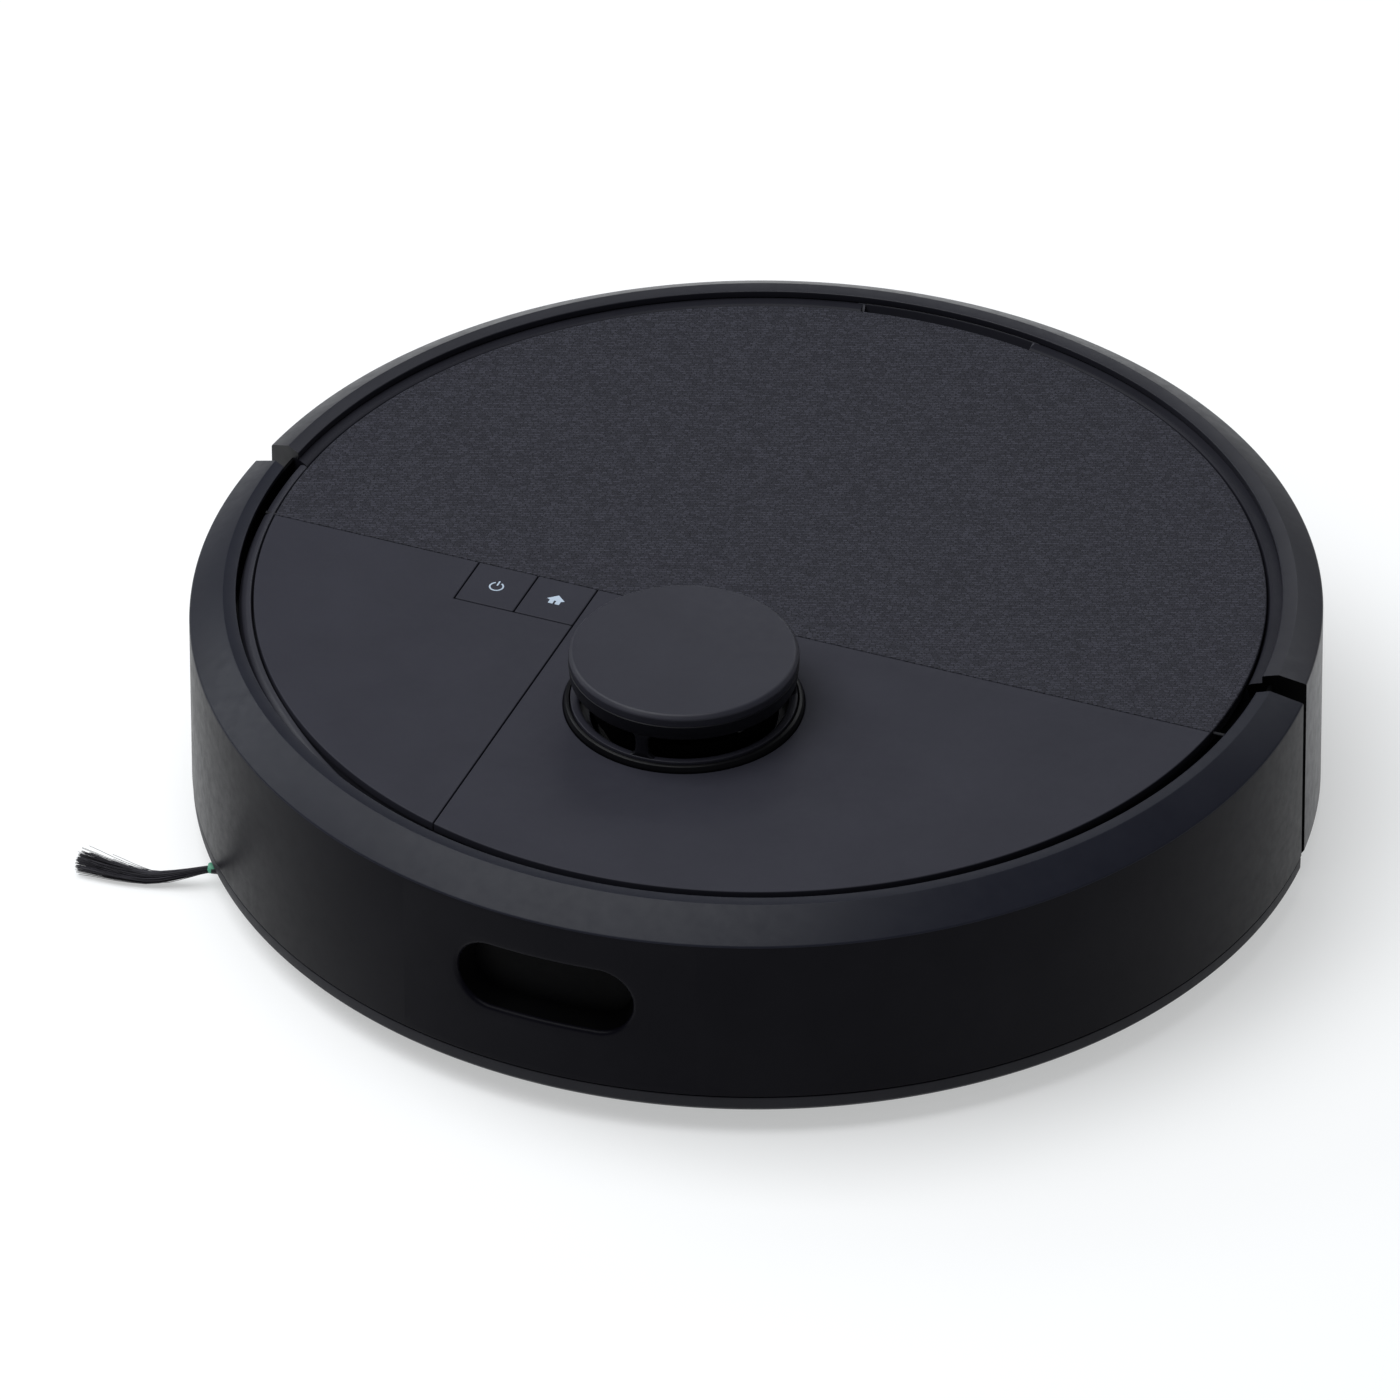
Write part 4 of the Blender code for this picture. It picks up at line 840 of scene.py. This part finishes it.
bm = bmesh.new()
levels = [(6.0, 76.5), (1.0, 76.5)]
for k in range(6):
    a = math.pi / 2 * k / 5
    levels.append((0.5 * (1 - math.sin(a)), 76.0 + 0.5 * math.cos(a)))
for k in range(7):
    a = math.pi / 2 * k / 6
    levels.append((1.6 * (1 - math.cos(a)), 75.2 - 1.7 * math.sin(a)))
levels.append((6.0, 73.5))
loops = [[bm.verts.new(co) for co in lid_loop(i, z)] for i, z in levels]
for one, two in zip(loops, loops[1:]):
    for k in range(len(one)):
        m = (k + 1) % len(one)
        bm.faces.new((one[k], one[m], two[m], two[k]))
bm.faces.new(loops[0])
bm.faces.new(loops[-1][::-1])
add("woven_lid", bm, WEAVE, "lid", ["rear_lid"], 40)

# ---------------------------------------------------------------- turret

lathe(
    "turret_collar",
    rounded([(37.0, 74.0), (37.0, 76.9), (36.5, 78.3), (35.5, 78.7), (35.2, 78.4), (35.2, 74.0)], [0, 0.3, 0.5, 0.3, 0.1, 0], 3),
    COLLAR_BLACK, "chassis", ["turret_base_ring"], centre=TURRET,
)
cap_profile = [(0, 96.5)] + rounded([(0.5, 96.5), (34.3, 96.5), (35.5, 95.2), (34.75, 87.8), (32.4, 87.8), (32.6, 94.3), (0.5, 94.3)], [0, 1.4, 1.0, 0.35, 0.3, 0.3, 0], 6, False) + [(0, 94.3)]
lathe("turret_cap", cap_profile, CAP, "chassis", ["turret_cage"], centre=TURRET, closed=False, angle=50)
# Painted shade: a darker sheet round the cap's side, standing in for the shade on its vertical face.
lathe(
    "turret_band",
    [(35.30, 92.6), (35.52, 92.4), (35.02, 88.0), (34.75, 87.5), (32.35, 87.5), (32.35, 88.2), (34.0, 88.4)],
    DARK_GREY_AND_PAINTED_SHADE, "chassis", (), centre=TURRET, angle=50,
)
lathe("turret_lip", rounded([(34.9, 74.0), (34.9, 79.2), (33.0, 79.0), (32.2, 78.6), (32.2, 74.0)], [0, 0.3, 0.5, 0.3, 0], 3), CAP, "chassis", (), centre=TURRET)
bm = bmesh.new()
for i in range(3):
    mid = math.radians(-90 + 120 * i)
    columns = []
    for du, dr in ((-2.0, 34.3), (-1.4, 34.7), (1.4, 34.7), (2.0, 34.3), (1.6, 32.7), (-1.6, 32.7)):
        columns.append((du, dr))
    rows = []
    for z, flare in ((78.4, 3.6), (79.0, 2.2), (79.8, 0.9), (80.8, 0.2), (83.5, 0.0), (86.0, 0.2), (87.0, 0.9), (87.8, 2.2), (88.4, 3.6)):
        row = []
        for du, dr in columns:
            u = du + math.copysign(flare, du)
            a = mid + u / dr
            row.append(bm.verts.new(Vector((TURRET[0] + dr * math.cos(a), TURRET[1] + dr * math.sin(a), z)) * MM))
        rows.append(row)
    for one, two in zip(rows, rows[1:]):
        for k in range(6):
            m = (k + 1) % 6
            bm.faces.new((one[k], one[m], two[m], two[k]))
    bm.faces.new(rows[0])
    bm.faces.new(rows[-1][::-1])
add("turret_pillars", bm, DARK_GREY_AND_PAINTED_SHADE, "chassis", (), 40)

FACING = Matrix.Translation(Vector((TURRET[0], TURRET[1], 0)) * MM) @ Matrix.Rotation(math.radians(17), 4, "Z")


def tube_loops(name, rings, mat, body, nodes=(), matrix=None, close=True):
    """A loft through equal rings of points, in mm, with both ends filled."""
    bm = bmesh.new()
    loops = [[bm.verts.new(Vector(p) * MM) for p in ring] for ring in rings]
    for one, two in zip(loops, loops[1:]):
        for k in range(len(one)):
            m = (k + 1) % len(one)
            bm.faces.new((one[k], one[m], two[m], two[k]))
    if close:
        bm.faces.new(loops[0])
        bm.faces.new(loops[-1][::-1])
    if matrix is not None:
        bmesh.ops.transform(bm, matrix=matrix, verts=bm.verts)
    return add(name, bm, mat, body, nodes, 40)


# Turning head: a round table with a block that carries the two lens tubes.
lathe("head_table", rounded([(0.2, 80.5), (28.3, 80.5), (28.3, 76.0), (25.0, 75.0), (25.0, 66.0), (0.2, 66.0)], [0, 0.6, 0.3, 0, 0.3, 0], 3), PITCH_BLACK_AND_PAINTED_SHADE, "turret_head", ["turret_rotor"], centre=TURRET)
block = [rounded_rect(-21.6 + i, -18.6 + i, 21.6 - i, 11.6 - i, 3.0, 6) for i in (0.4, 0, 0, 0.5, 1.4)]
tube_loops("head_block", [[(x, y, z) for x, y in ring] for ring, z in zip(block, (80.3, 81.0, 91.0, 92.0, 92.4))], PITCH_BLACK_AND_PAINTED_SHADE, "turret_head", (), FACING)
for name, x, r in (("laser", -15.5, 3.9), ("receiver", 15.5, 5.4)):
    tube = []
    for rr, y in ((r + 0.9, -17.8), (r + 1.1, -19.4), (r + 0.8, -19.7), (r + 0.3, -19.5), (r + 0.1, -18.6), (0.2, -18.4)):
        tube.append([(x + rr * math.cos(TAU * k / 40), y, 85.6 + rr * math.sin(TAU * k / 40)) for k in range(40)])
    tube_loops(name + "_barrel", tube, GLOSS, "turret_head", (), FACING)
    dome = []
    for k in range(7):
        t = k / 6 * math.pi / 2
        rr, y = max(r * math.cos(t), 0.05), -18.6 - 1.5 * math.sin(t)
        dome.append([(x + rr * math.cos(TAU * q / 40), y, 85.6 + rr * math.sin(TAU * q / 40)) for q in range(40)])
    tube_loops(name + "_glass", dome, LENS, "turret_head", [name + "_lens"], FACING)

# ---------------------------------------------------------------- side brush


def bristles(index):
    rng = random.Random(40 + index)
    turn_z = Matrix.Translation(Vector((-104.0, -97.0, 0)) * MM) @ Matrix.Rotation(math.radians(196 + 120 * index), 4, "Z")
    bm = bmesh.new()
    for _ in range(300):
        rho = math.sqrt(rng.random())
        phi = rng.random() * TAU
        y0, z0 = rho * math.cos(phi), rho * math.sin(phi)
        tip = 80.0 - abs(rng.gauss(0, 2.0)) - (9.0 if rng.random() < 0.05 else 0)
        stray = rng.gauss(0, 1.0) * (2.6 if rng.random() < 0.10 else 0.7)
        lift = abs(rng.gauss(0, 1.0)) * (2.2 if rng.random() < 0.10 else 0.4)
        radius = 0.13
        points = []
        for s in range(11):
            t = s / 10
            x = 36.0 + (tip - 36.0) * t
            half_y = 1.35 + 2.4 * t + 0.9 * t * t
            half_z = 0.9 + 0.9 * t
            y = y0 * half_y + 2.6 * math.sin(math.pi * min(t * 1.05, 1.0)) - 4.2 * t * t + stray * t * t
            drop = 4.0 * min(t / 0.45, 1.0) ** 1.2
            z = 6.2 + z0 * half_z - drop + lift * t * t
            points.append(Vector((x, y, max(z, 0.4))))
        rings_ = []
        for s, p in enumerate(points):
            w = radius * (1 - 0.4 * s / 10)
            rings_.append([bm.verts.new((p + Vector((0, w * math.cos(q), w * math.sin(q)))) * MM) for q in (0.5, 0.5 + TAU / 3, 0.5 + 2 * TAU / 3)])
        for one, two in zip(rings_, rings_[1:]):
            for k in range(3):
                m = (k + 1) % 3
                bm.faces.new((one[k], one[m], two[m], two[k]))
        bm.faces.new(rings_[0])
        bm.faces.new(rings_[-1][::-1])
    bmesh.ops.transform(bm, matrix=turn_z, verts=bm.verts)
    add("bristles_%d" % (index + 1), bm, BRISTLE, "side_brush", ["side_brush_tuft_%d" % (index + 1)], 60)
    collar = []
    for x, ry, rz in ((35.2, 1.7, 1.2), (35.5, 2.0, 1.5), (36.6, 2.15, 1.6), (37.8, 2.0, 1.5), (38.2, 1.7, 1.2), (38.0, 1.2, 0.6)):
        collar.append([(x, ry * math.cos(TAU * k / 28), 6.2 + rz * math.sin(TAU * k / 28)) for k in range(28)])
    tube_loops("tuft_collar_%d" % (index + 1), collar, COLLAR, "side_brush", (), turn_z)


for index in range(3):
    bristles(index)

# ---------------------------------------------------------------- tyres, rollers and brush


def tyre(side, sx):
    bm = bmesh.new()
    around, across = 480, 14
    w = 9.0
    rings_ = []
    for i in range(around):
        a = TAU * i / around
        ring = []
        for j in range(across + 1):
            v = -w + 2 * w * j / across
            phase = (a / TAU * 20 + 0.28 * abs(v) / w + 0.25) % 1.0
            groove = 0.0
            if 0.52 < phase < 0.98:
                edge = min(phase - 0.52, 0.98 - phase) / 0.07
                groove = min(edge, 1.0)
            shoulder = max(0.0, (abs(v) - 7.4) / 1.6)
            r = 33.0 - 2.0 * groove - 0.9 * shoulder * shoulder
            ring.append((r, v))
        ring += [(24.4, w), (24.4, -w)]
        rings_.append([bm.verts.new(Vector((sx * (117.0 + v), r * math.cos(a), 33.0 + r * math.sin(a))) * MM) for r, v in ring])
    for i in range(around):
        one, two = rings_[i], rings_[(i + 1) % around]
        for j in range(len(one)):
            k = (j + 1) % len(one)
            bm.faces.new((one[j], two[j], two[k], one[k]))
    add("tread_" + side, bm, RUBBER, "wheel_" + side, ["tyre_" + side], 35)


for side, sx in (("left", 1), ("right", -1)):
    tyre(side, sx)

# Roller brush: a round core with six curved rubber blades that meet in a chevron.
bm = bmesh.new()
for i in range(6):
    rows = []
    for s in range(81):
        x = -82.0 + 164.0 * s / 80
        twist = math.radians(48) * (1 - abs(x) / 82.0)
        a = TAU * i / 6 + twist
        notch = 0.9 if s % 8 == 4 else 0.0
        row = []
        for r, half in ((7.6, 2.3), (12.5, 1.3), (18.4 - notch, 0.85), (18.9 - notch, 0.55)):
            row.append((r, half))
        outline_ = [(r, h) for r, h in row] + [(r, -h) for r, h in row[::-1]]
        rows.append([bm.verts.new(Vector((x, 23.5 + r * math.cos(a) - h * math.sin(a), 20.5 + r * math.sin(a) + h * math.cos(a))) * MM) for r, h in outline_])
    for one, two in zip(rows, rows[1:]):
        for k in range(len(one)):
            m = (k + 1) % len(one)
            bm.faces.new((one[k], one[m], two[m], two[k]))
    bm.faces.new(rows[0])
    bm.faces.new(rows[-1][::-1])
add("roller_blades", bm, BRUSH, "brush_roll", ["main_brush"], 40)
lathe(
    "roller_core",
    rounded([(0.2, -88.4), (3.0, -88.4), (3.0, -82.4), (8.3, -82.2), (8.3, 82.2), (3.0, 82.4), (3.0, 88.4), (0.2, 88.4)], [0, 0.3, 0.2, 0.8, 0.8, 0.2, 0.3, 0], 3),
    BLACK, "brush_roll", (), steps=64, axis="X", origin=(0, 23.5, 20.5),
)
lathe(
    "caster_tyre",
    rounded([(2.0, -6.8), (8.4, -6.8), (10.5, -4.6), (10.5, 4.6), (8.4, 6.8), (2.0, 6.8)], [0, 0.6, 1.4, 1.4, 0.6, 0], 4),
    RUBBER, "caster_roller", ["caster_wheel"], steps=72, axis="X", origin=(0, -117.0, 10.5),
)

# The bumper's return springs: steel coils filling the boxes of the imported springs, built at rest length.
for side in ("left", "right"):
    low, high = (Vector(v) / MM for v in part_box("bumper_spring_" + side))
    middle = (low + high) / 2
    wire = 0.45
    coil = (high.x - low.x) / 2 - wire - 0.1
    span = high.y - low.y - 2 * wire - 0.2
    bm = bmesh.new()
    rings_ = []
    turns, steps = 6, 240
    for i in range(steps + 1):
        t = i / steps
        a = TAU * turns * t
        centre_ = Vector((middle.x + coil * math.cos(a), low.y + wire + 0.1 + span * t, middle.z + coil * math.sin(a)))
        out_ = Vector((math.cos(a), 0, math.sin(a)))
        rings_.append([bm.verts.new((centre_ + (out_ * math.cos(q) + Vector((0, 1, 0)) * math.sin(q)) * wire) * MM) for q in (TAU * k / 8 for k in range(8))])
    for one, two in zip(rings_, rings_[1:]):
        for k in range(8):
            m = (k + 1) % 8
            bm.faces.new((one[k], one[m], two[m], two[k]))
    bm.faces.new(rings_[0])
    bm.faces.new(rings_[-1][::-1])
    spring = add("return_spring_" + side, bm, STEEL, "chassis", ["bumper_spring_" + side], 60)
    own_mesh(spring)

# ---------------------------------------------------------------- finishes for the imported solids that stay

FINISH = {
    "matt_charcoal": PAN,
    "woven_charcoal": WEAVE,
    "satin_charcoal": TROUGH,
    "lip_charcoal": LIP,
    "black_plastic": BLACK,
    "gloss_black": GLOSS,
    "steel": STEEL,
    "contact_metal": CONTACT,
    "rubber": RUBBER,
    "tread_rubber": RUBBER,
    "grey_plastic": GREY,
    "smoked_plastic": SMOKE,
    "filter_white": FILTER,
    "board_green": BOARD,
    "battery_wrap": BATTERY,
    "gear_train": GREY,
    "motor_metal": STEEL,
    "bristle": BRISTLE,
    "brush_rubber": BRUSH,
    "lens": LENS,
}
BY_NODE = {
    "chassis_pan": PAN, "battery_cover": PAN, "brush_guard": BLACK, "brush_tunnel": BLACK, "exhaust_grille": BLACK,
    "upper_deck": TROUGH, "bin_cover": GREY, "bin_handle": BLACK, "dust_bin": SMOKE, "bin_filter": FILTER,
    "battery_pack": BATTERY, "main_board": BOARD, "charge_contact_left": CONTACT, "charge_contact_right": CONTACT,
    "cliff_window_left": GLOSS, "cliff_window_right": GLOSS, "cover_screw_left": STEEL, "cover_screw_right": STEEL,
    "turret_motor": STEEL, "motor_pulley": GREY, "drive_belt": RUBBER, "fan_housing": GREY, "fan_impeller": GREY,
    "side_brush_hub": BLACK, "side_brush_motor": BLACK, "wheel_gearbox_left": GREY, "wheel_gearbox_right": GREY,
    "wheel_hub_left": GREY, "wheel_hub_right": GREY, "caster_fork": BLACK, "brush_bearing_left": GREY, "brush_bearing_right": GREY,
    "brush_gearbox": GREY, "lid_hinge_pin_left": DARK_GREY_AND_PAINTED_SHADE, "lid_hinge_pin_right": DARK_GREY_AND_PAINTED_SHADE,
    "bumper_spring_left": STEEL, "bumper_spring_right": STEEL, "suspension_spring_left": STEEL, "suspension_spring_right": STEEL,
}
for name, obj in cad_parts.items():
    mat = BY_NODE.get(name, BLACK)
    if not obj.material_slots:
        obj.data.materials.append(mat)
    for slot_ in obj.material_slots:
        slot_.material = mat

# ---------------------------------------------------------------- floor and light

bm = bmesh.new()
bmesh.ops.create_grid(bm, x_segments=1, y_segments=1, size=6.0)
mesh = bpy.data.meshes.new("floor")
bm.to_mesh(mesh)
bm.free()
floor = bpy.data.objects.new("floor", mesh)
scene.collection.objects.link(floor)
floor_mat, nodes, links, shader = tree_of("floor_finish")
coords = nodes.new("ShaderNodeTexCoord").outputs["Object"]
soft = noise(nodes, links, coords, 3.0, 2.0, 0.5)
links.new(blend_colour(nodes, links, soft.outputs["Fac"], (0.54, 0.54, 0.54), (0.56, 0.56, 0.56)), shader.inputs["Base Color"])
shader.inputs["Roughness"].default_value = 0.9
shader.inputs["Specular IOR Level"].default_value = 0.1
shader.inputs["Emission Color"].default_value = (0.99, 1.0, 1.0, 1)
shader.inputs["Emission Strength"].default_value = 0.46
mesh.materials.append(floor_mat)

world = bpy.data.worlds.new("studio")
world.use_nodes = True
world.node_tree.nodes["Background"].inputs["Color"].default_value = (0.93, 0.96, 1.0, 1)
world.node_tree.nodes["Background"].inputs["Strength"].default_value = 0.16
scene.world = world


def softbox(name, at, look, size, energy, colour=(1, 1, 1)):
    light = bpy.data.lights.new(name, "AREA")
    light.shape = "RECTANGLE"
    light.size, light.size_y = size
    light.energy = energy
    light.color = colour
    obj = bpy.data.objects.new(name, light)
    at, look = Vector(at), Vector(look)
    obj.matrix_world = Matrix.Translation(at) @ (look - at).to_track_quat("-Z", "Y").to_matrix().to_4x4()
    scene.collection.objects.link(obj)
    return obj


softbox("overhead", (-0.6, -0.3, 2.0), (0, 0, 0), (1.9, 1.9), 46, (0.96, 0.98, 1.0))
softbox("left_bank", (-2.3, 0.5, 1.4), (0, 0, 0.05), (1.4, 1.1), 16, (0.93, 0.97, 1.0))
softbox("back_strip", (0.2, 2.4, 1.5), (0, 0, 0.05), (2.6, 0.8), 12, (0.94, 0.97, 1.0))

bpy.context.view_layer.update()
